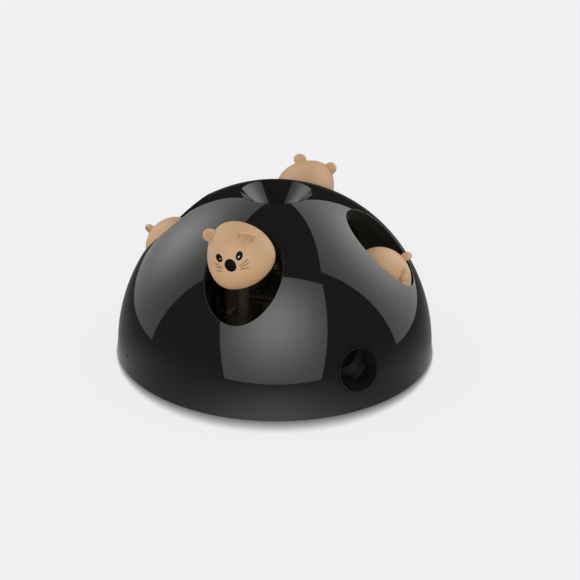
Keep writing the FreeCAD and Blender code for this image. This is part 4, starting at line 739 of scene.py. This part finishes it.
def egg_tree():
    """Geometry nodes that turn a sphere into the head's egg by its rule."""
    numbers = (
        ("Radius", EGG_RADIUS * MM),
        ("Pointed Length", EGG_POINTED * MM),
        ("Blunt Length", EGG_BLUNT * MM),
        ("Pointed Curve", EGG_POINTED_CURVE[0]),
        ("Pointed Fullness", EGG_POINTED_CURVE[1]),
        ("Blunt Curve", EGG_BLUNT_CURVE[0]),
        ("Blunt Fullness", EGG_BLUNT_CURVE[1]),
        ("Offset", EGG_OFFSET * MM),
        ("Tilt", math.radians(EGG_TILT)),
    )
    inputs = [(name, "NodeSocketFloat", value) for name, value in numbers]
    inputs += [("Segments", "NodeSocketInt", 128), ("Rings", "NodeSocketInt", 96)]
    inputs.append(("Skin", "NodeSocketMaterial", None))
    tree, given, out = new_group("mouse head egg", "GeometryNodeTree", inputs, MESH_OUT)
    inputs = {"Segments": given["Segments"], "Rings": given["Rings"], "Radius": 1.0}
    ball = wire(tree, "GeometryNodeMeshUVSphere", inputs)
    place = wire(tree, "GeometryNodeInputPosition").outputs[0]
    parts = wire(tree, "ShaderNodeSeparateXYZ", {0: place}).outputs
    pointed = calc(tree, "GREATER_THAN", parts[2], 0.0)
    share = calc(tree, "ABSOLUTE", parts[2])

    def picked(label):
        return blended(tree, pointed, given[f"Blunt {label}"], given[f"Pointed {label}"], "FLOAT")

    fall = calc(tree, "SUBTRACT", 1.0, calc(tree, "POWER", share, picked("Curve")), clamp=True)
    girth = times(tree, given["Radius"], calc(tree, "POWER", fall, picked("Fullness")))
    rest = calc(tree, "SUBTRACT", 1.0, times(tree, share, share), clamp=True)
    reach = calc(tree, "SQRT", rest)
    spread = calc(tree, "DIVIDE", girth, calc(tree, "MAXIMUM", reach, 0.0001))
    sideways = times(tree, parts[0], spread)
    upward = times(tree, parts[1], spread, -1.0)
    along = calc(tree, "MULTIPLY_ADD", parts[2], picked("Length"), given["Offset"])
    shaped = wire(tree, "ShaderNodeCombineXYZ", {0: sideways, 1: along, 2: upward}).outputs[0]
    rule = wire(tree, "GeometryNodeSetPosition", {"Geometry": ball.outputs[0], "Position": shaped})
    lean = wire(tree, "ShaderNodeCombineXYZ", {0: given["Tilt"]}).outputs[0]
    tilted = wire(tree, "GeometryNodeTransform", {"Geometry": rule.outputs[0], "Rotation": lean})
    whole = wire(tree, "GeometryNodeRealizeInstances", {0: tilted.outputs[0]})
    return painted(tree, whole, given["Skin"], out)


def run_tree(piece, tree, **values):
    """Put a tree on a piece and set its inputs by their identifiers."""
    modifier = piece.modifiers.new(tree.name, "NODES")
    modifier.node_group = tree
    for item in tree.interface.items_tree:
        if item.item_type == "SOCKET" and item.in_out == "INPUT" and item.name in values:
            modifier[item.identifier] = values[item.name]


def ring_faces(shape, first, second, segments):
    """Faces between two rings, either of which may be one point."""
    faces = []
    for index in range(segments):
        after = (index + 1) % segments
        corners = [first[index % len(first)], second[index % len(second)]]
        corners += [second[after % len(second)], first[after % len(first)]]
        faces.append(shape.faces.new(list(dict.fromkeys(corners))))
    return faces


def lathe(profile, matrix, segments=48):
    """A closed round shape from (radius, height) pairs that start and end on the axis."""
    shape = bmesh.new()
    rings = []
    for radius, height in profile:
        if radius < 1e-6:
            rings.append([shape.verts.new(matrix @ Vector((0, 0, height)))])
            continue
        corners = circle_corners(radius, height, segments)
        rings.append([shape.verts.new(matrix @ Vector(corner)) for corner in corners])
    for lower, upper in zip(rings, rings[1:]):
        ring_faces(shape, lower, upper, segments)
    bmesh.ops.recalc_face_normals(shape, faces=shape.faces)
    return shape


def looking(facing, turned=0.0):
    """A rotation whose z axis looks along the facing, with its y axis as upright as can be."""
    forward = Vector(facing).normalized()
    side = Vector((0, 0, 1)).cross(forward).normalized()
    upright = forward.cross(side)
    return Matrix((side, upright, forward)).transposed().to_4x4() @ turn("Z", turned)


def ear_matrix(ear):
    """From an ear's own axes to the head's, in millimetres."""
    middle, facing, across, upright, depth = ear
    return Matrix.Translation(middle) @ looking(facing) @ Matrix.Diagonal((across, upright, depth, 1.0))


def stalk_matrix(ear, scale):
    """From a ball to the stalk that joins an ear to the skin."""
    middle, facing, across, upright, _depth = ear
    root = on_skin(Vector(middle), Vector(middle).normalized())
    place = scale @ Matrix.Translation(root.lerp(Vector(middle), STALK_PLACE))
    sizes = (across * STALK_SHARES[0], upright * STALK_SHARES[1], STALK_THICKNESS, 1.0)
    return place @ looking(facing) @ Matrix.Diagonal(sizes)


def add_shape(whole, part):
    """Put the faces of one shape into another."""
    whole.from_mesh(made_mesh(part, "part"))


def head_skin():
    """The egg and its two ears grown together, in the head's own axes."""
    egg = new_object("egg", bpy.data.meshes.new("egg"))
    run_tree(egg, egg_tree(), Skin=slot_finish("mouse_tan"))
    mesh = applied(egg, "egg")
    shape = bmesh.new()
    shape.from_mesh(mesh)
    bmesh.ops.remove_doubles(shape, verts=shape.verts, dist=EGG_SEAM)
    bmesh.ops.recalc_face_normals(shape, faces=shape.faces)
    scale = Matrix.Scale(MM, 4)
    for ear in EARS:
        add_shape(shape, lathe(EAR_PROFILE, scale @ ear_matrix(ear)))
        stalk = bmesh.new()
        place = stalk_matrix(ear, scale)
        bmesh.ops.create_uvsphere(stalk, u_segments=32, v_segments=20, radius=1.0, matrix=place)
        add_shape(shape, stalk)
    shape.to_mesh(mesh)
    shape.free()
    piece = new_object("head", mesh)
    grow = piece.modifiers.new("grow together", "REMESH")
    grow.mode = "VOXEL"
    grow.voxel_size = HEAD_VOXEL * MM
    soften = piece.modifiers.new("soften", "SMOOTH")
    soften.factor = SOFTEN_FACTOR
    soften.iterations = SOFTEN_STEPS
    whole = applied(piece, "head skin")
    whole.materials.clear()
    whole.materials.append(skin_finish())
    whole.polygons.foreach_set("use_smooth", [True] * len(whole.polygons))
    paint_ear_shade(whole)
    return whole


def paint_ear_shade(mesh):
    """Paint shade into an attribute: the ear cups, partly their own darker tone and partly painted shade,
    and painted shade in the crease at their roots.
    """
    points = read_rows(mesh.vertices, "co") / MM
    shade = np.zeros(len(points))
    for ear in EARS:
        back = np.array(ear_matrix(ear).inverted())
        across, upright, depth = (points @ back[:3, :3].T + back[:3, 3]).T
        reach = np.hypot(across, upright)
        # The cup's darker tone: partly the ear's own tone, partly painted shade
        cup = np.clip((CUP_RIM - reach) / CUP_FADE, 0, 1) * np.clip((depth + CUP_FLOOR) / CUP_FLOOR, 0, 1)
        shade = np.maximum(shade, cup * CUP_PAINTED_SHADE)
        # Painted shade along the crease on the ear's lower inner side
        inward = across * math.copysign(1.0, -ear[0][1])
        lower = inward * CREASE_WAY[0] + upright * CREASE_WAY[1]
        share = np.clip(lower / np.maximum(reach, 0.1) * CREASE_SPREAD, 0, 1)
        crease = np.clip(1 - np.abs(reach - CREASE_RING) / CREASE_WIDTH, 0, 1)
        crease = crease * np.clip(CREASE_CORE - np.abs(depth) / CREASE_DEPTH, 0, 1)
        shade = np.maximum(shade, crease * share)
    attribute = mesh.attributes.new("ear_painted_shade", "FLOAT", "POINT")
    attribute.data.foreach_set("value", shade.astype(np.float32))


def skin_finish():
    """The heads' soft tan skin, with painted shade in the ear cups and creases."""
    look = bpy.context.scene.mouse_look
    shade = ("ear_painted_shade", look.ear_shade_colour)
    return make_finish("mouse skin", look.skin_colour, shade=shade, **FINISHES["mouse_tan"])


def oval_patch(shape, middle, size, turned, lift, slot, base=0.0, segments=40, rings=9):
    """Add a closed, slightly domed oval that follows the skin."""
    width, height = size
    way = skin_normal(on_skin(Vector(middle), Vector(middle).normalized()))
    centre = on_skin(Vector(middle), way)
    frame_axes = looking(way, turned).to_3x3()
    layers = []
    for top in (True, False):
        rows = []
        for ring in range(rings + 1):
            share = ring / rings
            row = []
            for index in range(segments if ring else 1):
                angle = 2 * math.pi * index / segments
                flat = Vector((width * share * math.cos(angle), height * share * math.sin(angle), 0))
                skin = on_skin(centre + frame_axes @ flat, way, PATCH_REACH)
                raised = base + lift * math.sqrt(max(1.0 - share**4, 0.0)) if top else -PATCH_SINK
                row.append(shape.verts.new((skin + way * raised) * MM))
            rows.append(row)
        layers.append(rows)
    upper, lower = layers
    bands = [*zip(upper, upper[1:]), *zip(lower[1:], lower), (upper[-1], lower[-1])]
    for first, second in bands:
        for face in ring_faces(shape, first, second, segments):
            face.material_index = slot
            face.smooth = True


def eyes_mesh():
    """Both eyes: a pale rim, a black oval and a glint, a painted highlight that leans to the nose."""
    shape = bmesh.new()
    looks = ("rim", "bead", "glint", "dim glint")
    for middle, width, height, turned, glint_side, glint in EYES:
        rim = (width * EYE_RIM_SHARES[0], height * EYE_RIM_SHARES[1])
        oval_patch(shape, middle, rim, turned, EYE_RIM_LIFT, 0)
        oval_patch(shape, middle, (width, height), turned, EYE_LIFT, 1, base=EYE_BASE)
        spot = Vector(middle) + Vector((0.0, glint_side * GLINT_OFFSET[0], GLINT_OFFSET[1]))
        fine = dict(base=EYE_LIFT, segments=24, rings=4)
        oval_patch(shape, spot, GLINT_SIZE, turned, GLINT_LIFT, looks.index(glint), **fine)
    return finished_trim(shape, "eyes", looks)


def nose_mesh():
    """The nose: one broad matte oval."""
    shape = bmesh.new()
    middle, width, height, turned = NOSE
    oval_patch(shape, middle, (width, height), turned, NOSE_LIFT, 0, rings=14, segments=56)
    return finished_trim(shape, "nose", ("nose",))


def finished_trim(shape, name, looks):
    """A face part's mesh with its materials."""
    bmesh.ops.recalc_face_normals(shape, faces=shape.faces)
    mesh = made_mesh(shape, name)
    for look in looks:
        mesh.materials.append(trim_finish(look))
    return mesh


# The glints are painted highlights, the dim one a greyer painted reflection
PAINTED_GLINT_FINISH = dict(roughness=0.4, drift=0.05, depth=0.004, shine=0.1)
# Each look of the face: its material's name, its colour and its finish
TRIM_LOOKS = {
    "rim": ("pale eye rim", (0.66, 0.46, 0.30), dict(roughness=0.5, drift=0.05, depth=0.01)),
    "bead": (
        "eye black", (0.003, 0.0027, 0.0024), dict(roughness=0.35, drift=0.1, depth=0.004, shine=0.05)
    ),
    "glint": ("eye glint", (0.62, 0.60, 0.57), PAINTED_GLINT_FINISH),
    "dim glint": ("eye glint dim", (0.24, 0.235, 0.18), PAINTED_GLINT_FINISH),
    "nose": (
        "nose black", (0.003, 0.0026, 0.0026), dict(roughness=0.6, drift=0.1, depth=0.02, shine=0.05)
    ),
    "whisker": (
        "whisker brown", (0.24, 0.135, 0.08), dict(roughness=0.7, drift=0.15, depth=0.01, shine=0.2)
    ),
}


def trim_finish(look):
    """The material of a part of the face, made once."""
    name, colour, values = TRIM_LOOKS[look]
    return bpy.data.materials.get(name) or make_finish(name, colour, **values)


def whisker_tree():
    """Geometry nodes that give each whisker line a tapered body."""
    inputs = (
        ("Lines", "NodeSocketGeometry", None),
        ("Root Radius", "NodeSocketFloat", 0.32 * MM),
        ("Tip Radius", "NodeSocketFloat", 0.10 * MM),
        ("Paint", "NodeSocketMaterial", None),
    )
    tree, given, out = new_group("whisker strokes", "GeometryNodeTree", inputs, MESH_OUT)
    lines = wire(tree, "GeometryNodeMeshToCurve", {0: given["Lines"]}).outputs[0]
    share = wire(tree, "GeometryNodeSplineParameter").outputs["Factor"]
    swell = calc(tree, "SINE", calc(tree, "MULTIPLY_ADD", share, WHISKER_SWELL, WHISKER_START))
    thick = blended(tree, swell, given["Tip Radius"], given["Root Radius"], "FLOAT")
    round_line = wire(tree, "GeometryNodeCurvePrimitiveCircle", {"Resolution": 10, "Radius": 1.0})
    inputs = {"Curve": lines, "Profile Curve": round_line.outputs[0], "Scale": thick, "Fill Caps": True}
    body = wire(tree, "GeometryNodeCurveToMesh", inputs)
    smooth = wire(tree, "GeometryNodeSetShadeSmooth", {0: body.outputs[0]})
    whole = wire(tree, "GeometryNodeRealizeInstances", {0: smooth.outputs[0]})
    return painted(tree, whole, given["Paint"], out)


def whisker_mesh(tree):
    """Six tapered strokes that follow the skin."""
    shape = bmesh.new()
    for root, tip in WHISKERS:
        before = None
        for step in range(WHISKER_STEPS + 1):
            point = Vector(root).lerp(Vector(tip), step / WHISKER_STEPS)
            way = skin_normal(on_skin(point, point.normalized()))
            vertex = shape.verts.new((on_skin(point, way) + way * WHISKER_LIFT) * MM)
            if before:
                shape.edges.new((before, vertex))
            before = vertex
    piece = new_object("whiskers", made_mesh(shape, "whisker lines"))
    radius = bpy.context.scene.mouse_look.whisker_radius
    run_tree(piece, tree, **{"Root Radius": radius, "Paint": trim_finish("whisker")})
    return applied(piece, "whiskers")


def placed_copy(mesh, side, name, slot, *nodes):
    """Place a copy of a head part at one hole, riding on that mouse and not mirrored in the dome."""
    copy = mesh.copy()
    copy.transform(head_matrix(side))
    copy.update()
    piece = new_object(name, copy)
    piece.visible_glossy = False
    settle(piece, f"mouse_{side}", slot, *nodes)


# Studio


def emission_material(name, strength_of):
    """A glow whose strength is worked out by nodes."""
    material, tree = new_material(name)
    tree.nodes.clear()
    out = tree.nodes.new("ShaderNodeOutputMaterial")
    glow = wire(tree, "ShaderNodeEmission", {"Strength": strength_of(tree)})
    tree.links.new(glow.outputs[0], out.inputs[0])
    return material


def card_strength(tree, level):
    """A softbox: brightest about its middle."""
    look = bpy.context.scene.studio_look
    share = calc(tree, "DIVIDE", distance_out(tree), look.card_spread)
    fall = fading(tree, times(tree, share, share))
    return calc(tree, "MULTIPLY_ADD", fall, look.card_centre * level, look.card_edge * level)


def in_front(tree):
    """One straight in front of the toy, falling to nothing at its sides and behind it."""
    inputs = {0: object_place(tree)}
    outward = wire(tree, "ShaderNodeVectorMath", inputs, operation="NORMALIZE").outputs["Vector"]
    share = wire(tree, "ShaderNodeSeparateXYZ", {0: outward}).outputs["Y"]
    return calc(tree, "MAXIMUM", times(tree, share, -1.0), 0.0)


def glow_floor_strength(tree):
    """The lit floor close around the toy, fading outwards."""
    look = bpy.context.scene.studio_look
    away = calc(tree, "DIVIDE", calc(tree, "SUBTRACT", distance_out(tree), GLOW_START), GLOW_FADE)
    fall = fading(tree, away)
    front = in_front(tree)
    off = calc(tree, "POWER", calc(tree, "MULTIPLY_ADD", front, GLOW_BESIDE_NARROWING, -1.0), 2.0)
    beside = fading(tree, off)
    glow = look.floor_glow
    level = calc(tree, "MULTIPLY_ADD", beside, glow * GLOW_BESIDE, glow * GLOW_ROUND)
    narrow = calc(tree, "POWER", front, GLOW_FRONT_NARROWING)
    level = calc(tree, "MULTIPLY_ADD", narrow, glow * GLOW_IN_FRONT, level)
    return calc(tree, "MULTIPLY_ADD", fall, level, GLOW_LEAST)


def reflected_only(name, mesh, glow):
    """A glowing studio piece that only glossy rays see."""
    piece = new_object(name, mesh)
    mesh.materials.append(glow)
    for kind in ("camera", "diffuse", "transmission", "volume_scatter", "shadow"):
        setattr(piece, f"visible_{kind}", False)
    return piece


def flat_mesh(name, corners):
    """One face."""
    mesh = bpy.data.meshes.new(name)
    mesh.from_pydata(corners, [], [tuple(range(len(corners)))])
    return mesh


def circle_corners(radius, height=0.0, count=128):
    """Points round the upright axis."""
    turns = [2 * math.pi * index / count for index in range(count)]
    return [(radius * math.cos(angle), radius * math.sin(angle), height) for angle in turns]


def add_cards():
    """Softboxes that stand on the floor and lean in over the toy."""
    for name, (azimuth, half_width, foot, top, height, level) in CARDS.items():
        glow = emission_material(f"softbox glow {name}", lambda tree: card_strength(tree, level))
        run = foot - top
        length = math.hypot(run, height)
        low, high = -length * CARD_SHARE, length * (1 - CARD_SHARE)
        corners = [(-half_width, low, 0), (half_width, low, 0)]
        corners += [(half_width, high, 0), (-half_width, high, 0)]
        card = reflected_only(f"softbox_{name}", flat_mesh("softbox", corners), glow)
        lean = math.degrees(math.atan2(height, run))
        middle = Matrix.Translation((0, -foot + run * CARD_SHARE, height * CARD_SHARE))
        card.matrix_world = turn("Z", azimuth) @ middle @ turn("X", lean)


def add_dark_room():
    """Dark flags all round and the glow of the floor near the toy, both seen only in reflections."""
    shape = bmesh.new()
    bmesh.ops.create_icosphere(shape, subdivisions=4, radius=ROOM_RADIUS)
    black = emission_material("flag black", lambda tree: calc(tree, "ADD", FLAG_LEVEL, 0.0))
    reflected_only("dark_flags", made_mesh(shape, "dark flags"), black)
    disc = flat_mesh("floor glow", circle_corners(GLOW_RADIUS, GLOW_HEIGHT))
    reflected_only("floor_glow", disc, emission_material("floor glow", glow_floor_strength))


def seen_directly(tree):
    """One for the rays that see a background: camera, glossy and transmitted ones."""
    path = wire(tree, "ShaderNodeLightPath").outputs
    seen = calc(tree, "MAXIMUM", path["Is Camera Ray"], path["Is Glossy Ray"])
    return calc(tree, "MAXIMUM", seen, path["Is Transmission Ray"])


def add_floor():
    """The plain pale floor, lit almost evenly, with the toy's contact shadow."""
    look = bpy.context.scene.studio_look
    floor = new_object("floor", flat_mesh("floor", circle_corners(FLOOR_RADIUS)))
    material, tree = new_material("studio floor")
    matt = {"Base Color": rgba(FLOOR_COLOUR), "Roughness": 1.0, "Specular IOR Level": 0.0}
    shader = feed(tree, tree.nodes["Principled BSDF"], matt)
    front = calc(tree, "POWER", in_front(tree), 2.0)
    reach = calc(tree, "MULTIPLY_ADD", front, look.contact_reach, look.contact_least)
    contact = wire(tree, "ShaderNodeAmbientOcclusion", {"Distance": reach}, samples=16).outputs["AO"]
    level = calc(tree, "POWER", contact, look.contact_depth)
    even = wire(tree, "ShaderNodeEmission", {"Color": rgba(BACKDROP_COLOUR), "Strength": level})
    share = times(tree, seen_directly(tree), look.floor_evenness)
    mixed = wire(tree, "ShaderNodeMixShader", {0: share, 1: shader.outputs[0], 2: even.outputs[0]})
    tree.links.new(mixed.outputs[0], tree.nodes["Material Output"].inputs[0])
    floor.data.materials.append(material)


def add_world():
    """An even pale sky that lights the toy, and the background that the camera sees."""
    look = bpy.context.scene.studio_look
    world = bpy.data.worlds.new("studio")
    bpy.context.scene.world = world
    world.use_nodes = True
    tree = world.node_tree
    white = {"Color": (1.0, 1.0, 1.0, 1.0), "Strength": look.sky_level}
    sky = feed(tree, tree.nodes["Background"], white)
    backdrop = wire(tree, "ShaderNodeBackground", {"Color": rgba(BACKDROP_COLOUR), "Strength": 1.0})
    inputs = {0: seen_directly(tree), 1: sky.outputs[0], 2: backdrop.outputs[0]}
    mixed = wire(tree, "ShaderNodeMixShader", inputs)
    tree.links.new(mixed.outputs[0], tree.nodes["World Output"].inputs[0])


def add_lamps():
    """Broad, even lamps round the toy, and a low fill from the front."""
    look = bpy.context.scene.studio_look
    for azimuth, tilt, share, shadows in LAMPS:
        lamp = bpy.data.lights.new("broad lamp", "SUN")
        lamp.energy = look.lamp_level * share
        lamp.use_shadow = shadows
        lamp.angle = LAMP_WIDTH
        rig = bpy.data.objects.new("broad_lamp", lamp)
        bpy.context.scene.collection.objects.link(rig)
        rig.matrix_world = turn("Z", azimuth) @ turn("X", tilt)
        rig.visible_glossy = False


def add_camera():
    """The camera at the photograph's place."""
    forward = Vector(CAMERA_FORWARD).normalized()
    side = forward.cross(Vector(CAMERA_UP)).normalized()
    upright = side.cross(forward)
    data = bpy.data.cameras.new("camera")
    data.sensor_width = SENSOR_WIDTH
    data.lens = FOCAL_PIXELS / IMAGE_SIZE * SENSOR_WIDTH
    data.clip_start = 0.01
    camera = bpy.data.objects.new("camera", data)
    bpy.context.scene.collection.objects.link(camera)
    turned = Matrix((side, upright, -forward)).transposed().to_4x4()
    camera.matrix_world = Matrix.Translation(CAMERA_PLACE) @ turned
    bpy.context.scene.camera = camera


# What a user can change

COLOUR = dict(subtype="COLOR", size=3, min=0.0, max=1.0)


class MouseLook(bpy.types.PropertyGroup):
    """Colours and sizes of the mouse heads."""

    skin_colour: bpy.props.FloatVectorProperty(
        name="Skin colour",
        description="Soft tan of the heads",
        **COLOUR,
        default=(0.565, 0.343, 0.172),
    )
    # Painted shade: the darker tan of the ear cups, partly their own tone, and of the creases at the
    # ears' roots
    ear_shade_colour: bpy.props.FloatVectorProperty(
        name="Ear shade colour",
        description="Darker tan in the ear cups and creases",
        **COLOUR,
        default=(0.33, 0.185, 0.09),
    )
    whisker_radius: bpy.props.FloatProperty(
        name="Whisker radius",
        description="Thickest half width of a whisker stroke",
        unit="LENGTH",
        precision=5,
        default=0.00034,
    )


class StudioLook(bpy.types.PropertyGroup):
    """Levels of the studio."""

    sky_level: bpy.props.FloatProperty(
        name="Sky level", description="Even light from all round", default=0.73
    )
    lamp_level: bpy.props.FloatProperty(
        name="Lamp level", description="Strength of a whole lamp", default=0.40
    )
    card_centre: bpy.props.FloatProperty(
        name="Card middle", description="Extra glow at a card's middle", default=2.4
    )
    card_edge: bpy.props.FloatProperty(
        name="Card edge", description="Glow over a whole card", default=0.9
    )
    card_spread: bpy.props.FloatProperty(
        name="Card spread", description="How far the middle glow reaches", unit="LENGTH", default=0.14
    )
    floor_glow: bpy.props.FloatProperty(
        name="Floor glow", description="Glow of the floor near the toy, in reflections", default=0.40
    )
    floor_evenness: bpy.props.FloatProperty(
        name="Floor evenness",
        description="Share of the floor's look that broad shading leaves alone",
        default=0.85,
    )
    contact_reach: bpy.props.FloatProperty(
        name="Contact reach",
        description="How much further the contact shadow runs out in front",
        unit="LENGTH",
        default=0.016,
    )
    contact_least: bpy.props.FloatProperty(
        name="Contact least",
        description="How far the contact shadow runs out at the sides",
        unit="LENGTH",
        default=0.0015,
    )
    contact_depth: bpy.props.FloatProperty(
        name="Contact depth", description="Power that deepens the contact shadow", default=3.5
    )


class TOY_OT_finishes(bpy.types.Operator):
    """Give every node of the model its procedural finish"""

    bl_idname = "toy.finishes"
    bl_label = "Finish every node"

    def execute(self, context):
        slots = {row["node"]: row["material_slot"] for row in frame["record"]["subparts"]}
        for name, node in frame["nodes"].items():
            for holder in node.material_slots:
                holder.material = slot_finish(slots[name])
        return {"FINISHED"}


class TOY_OT_dome(bpy.types.Operator):
    """Build the glossy dome cover with true reflections"""

    bl_idname = "toy.dome"
    bl_label = "Dome cover"

    def execute(self, context):
        mesh = merged_copy("dome_shell")
        true_normals(mesh)
        mesh.materials.clear()
        mesh.materials.append(slot_finish("dome_black"))
        # Painted shade for the hole walls and painted light for the dome's underside
        for name, colour in INSIDE_PAINTED_COLOURS.items():
            mesh.materials.append(make_finish(name, colour, **INSIDE_FINISH))
        dull_inside(mesh)
        settle(new_object("dome_cover", mesh), "case", "dome_black", "dome_shell")
        return {"FINISHED"}


class TOY_OT_chute(bpy.types.Operator):
    """Build the treat chute with its smooth lip"""

    bl_idname = "toy.chute"
    bl_label = "Treat chute"

    def execute(self, context):
        mesh = merged_copy("treat_chute")
        mesh.materials.clear()
        mesh.materials.append(slot_finish("dome_black"))
        settle(new_object("chute_tube", mesh), "case", "dome_black", "treat_chute")
        return {"FINISHED"}


class TOY_OT_heads(bpy.types.Operator):
    """Grow the four mouse heads from the egg rule and their ears"""

    bl_idname = "toy.heads"
    bl_label = "Mouse heads"

    def execute(self, context):
        skin = head_skin()
        for side in SIDES:
            placed_copy(skin, side, f"mouse_skin_{side}", "mouse_tan", f"head_{side}")
        return {"FINISHED"}


class TOY_OT_faces(bpy.types.Operator):
    """Set the eyes and noses into the skin"""

    bl_idname = "toy.faces"
    bl_label = "Eyes and noses"

    def execute(self, context):
        eyes = eyes_mesh()
        nose = nose_mesh()
        for side in SIDES:
            placed_copy(eyes, side, f"eye_beads_{side}", "bead_black", f"eyes_{side}")
            placed_copy(nose, side, f"nose_bead_{side}", "bead_black", f"nose_{side}")
        return {"FINISHED"}


class TOY_OT_whiskers(bpy.types.Operator):
    """Lay the whisker strokes on the skin"""

    bl_idname = "toy.whiskers"
    bl_label = "Whiskers"

    def execute(self, context):
        strokes = whisker_mesh(whisker_tree())
        for side in SIDES:
            placed_copy(strokes, side, f"whisker_strokes_{side}", "bead_black")
        return {"FINISHED"}


class TOY_OT_studio(bpy.types.Operator):
    """Set up the floor, lamps, softboxes, backdrop and camera"""

    bl_idname = "toy.studio"
    bl_label = "Studio"

    def execute(self, context):
        context.scene.view_settings.view_transform = "Standard"
        add_floor()
        add_world()
        add_lamps()
        add_cards()
        add_dark_room()
        add_camera()
        return {"FINISHED"}


STEPS = (
    TOY_OT_studio,
    TOY_OT_finishes,
    TOY_OT_dome,
    TOY_OT_chute,
    TOY_OT_heads,
    TOY_OT_faces,
    TOY_OT_whiskers,
)


class TOY_PT_panel(bpy.types.Panel):
    """Lists the steps and the values that they read."""

    bl_label = "Mouse chase dome"
    bl_idname = "TOY_PT_panel"
    bl_space_type = "VIEW_3D"
    bl_region_type = "UI"
    bl_category = "Mouse chase dome"

    def draw(self, context):
        for step in STEPS:
            self.layout.operator(step.bl_idname)
        for group in (context.scene.mouse_look, context.scene.studio_look):
            column = self.layout.column()
            for key in group.__annotations__:
                column.prop(group, key)


CLASSES = (MouseLook, StudioLook, *STEPS, TOY_PT_panel)


def register():
    """Register the add-on."""
    for item in CLASSES:
        bpy.utils.register_class(item)
    bpy.types.Scene.mouse_look = bpy.props.PointerProperty(type=MouseLook)
    bpy.types.Scene.studio_look = bpy.props.PointerProperty(type=StudioLook)


def unregister():
    """Take the add-on out again."""
    del bpy.types.Scene.mouse_look
    del bpy.types.Scene.studio_look
    for item in reversed(CLASSES):
        bpy.utils.unregister_class(item)


def main():
    """Register the add-on and build everything."""
    register()
    for step in STEPS:
        group, action = step.bl_idname.split(".")
        getattr(getattr(bpy.ops, group), action)()


if __name__ == "__main__":
    main()
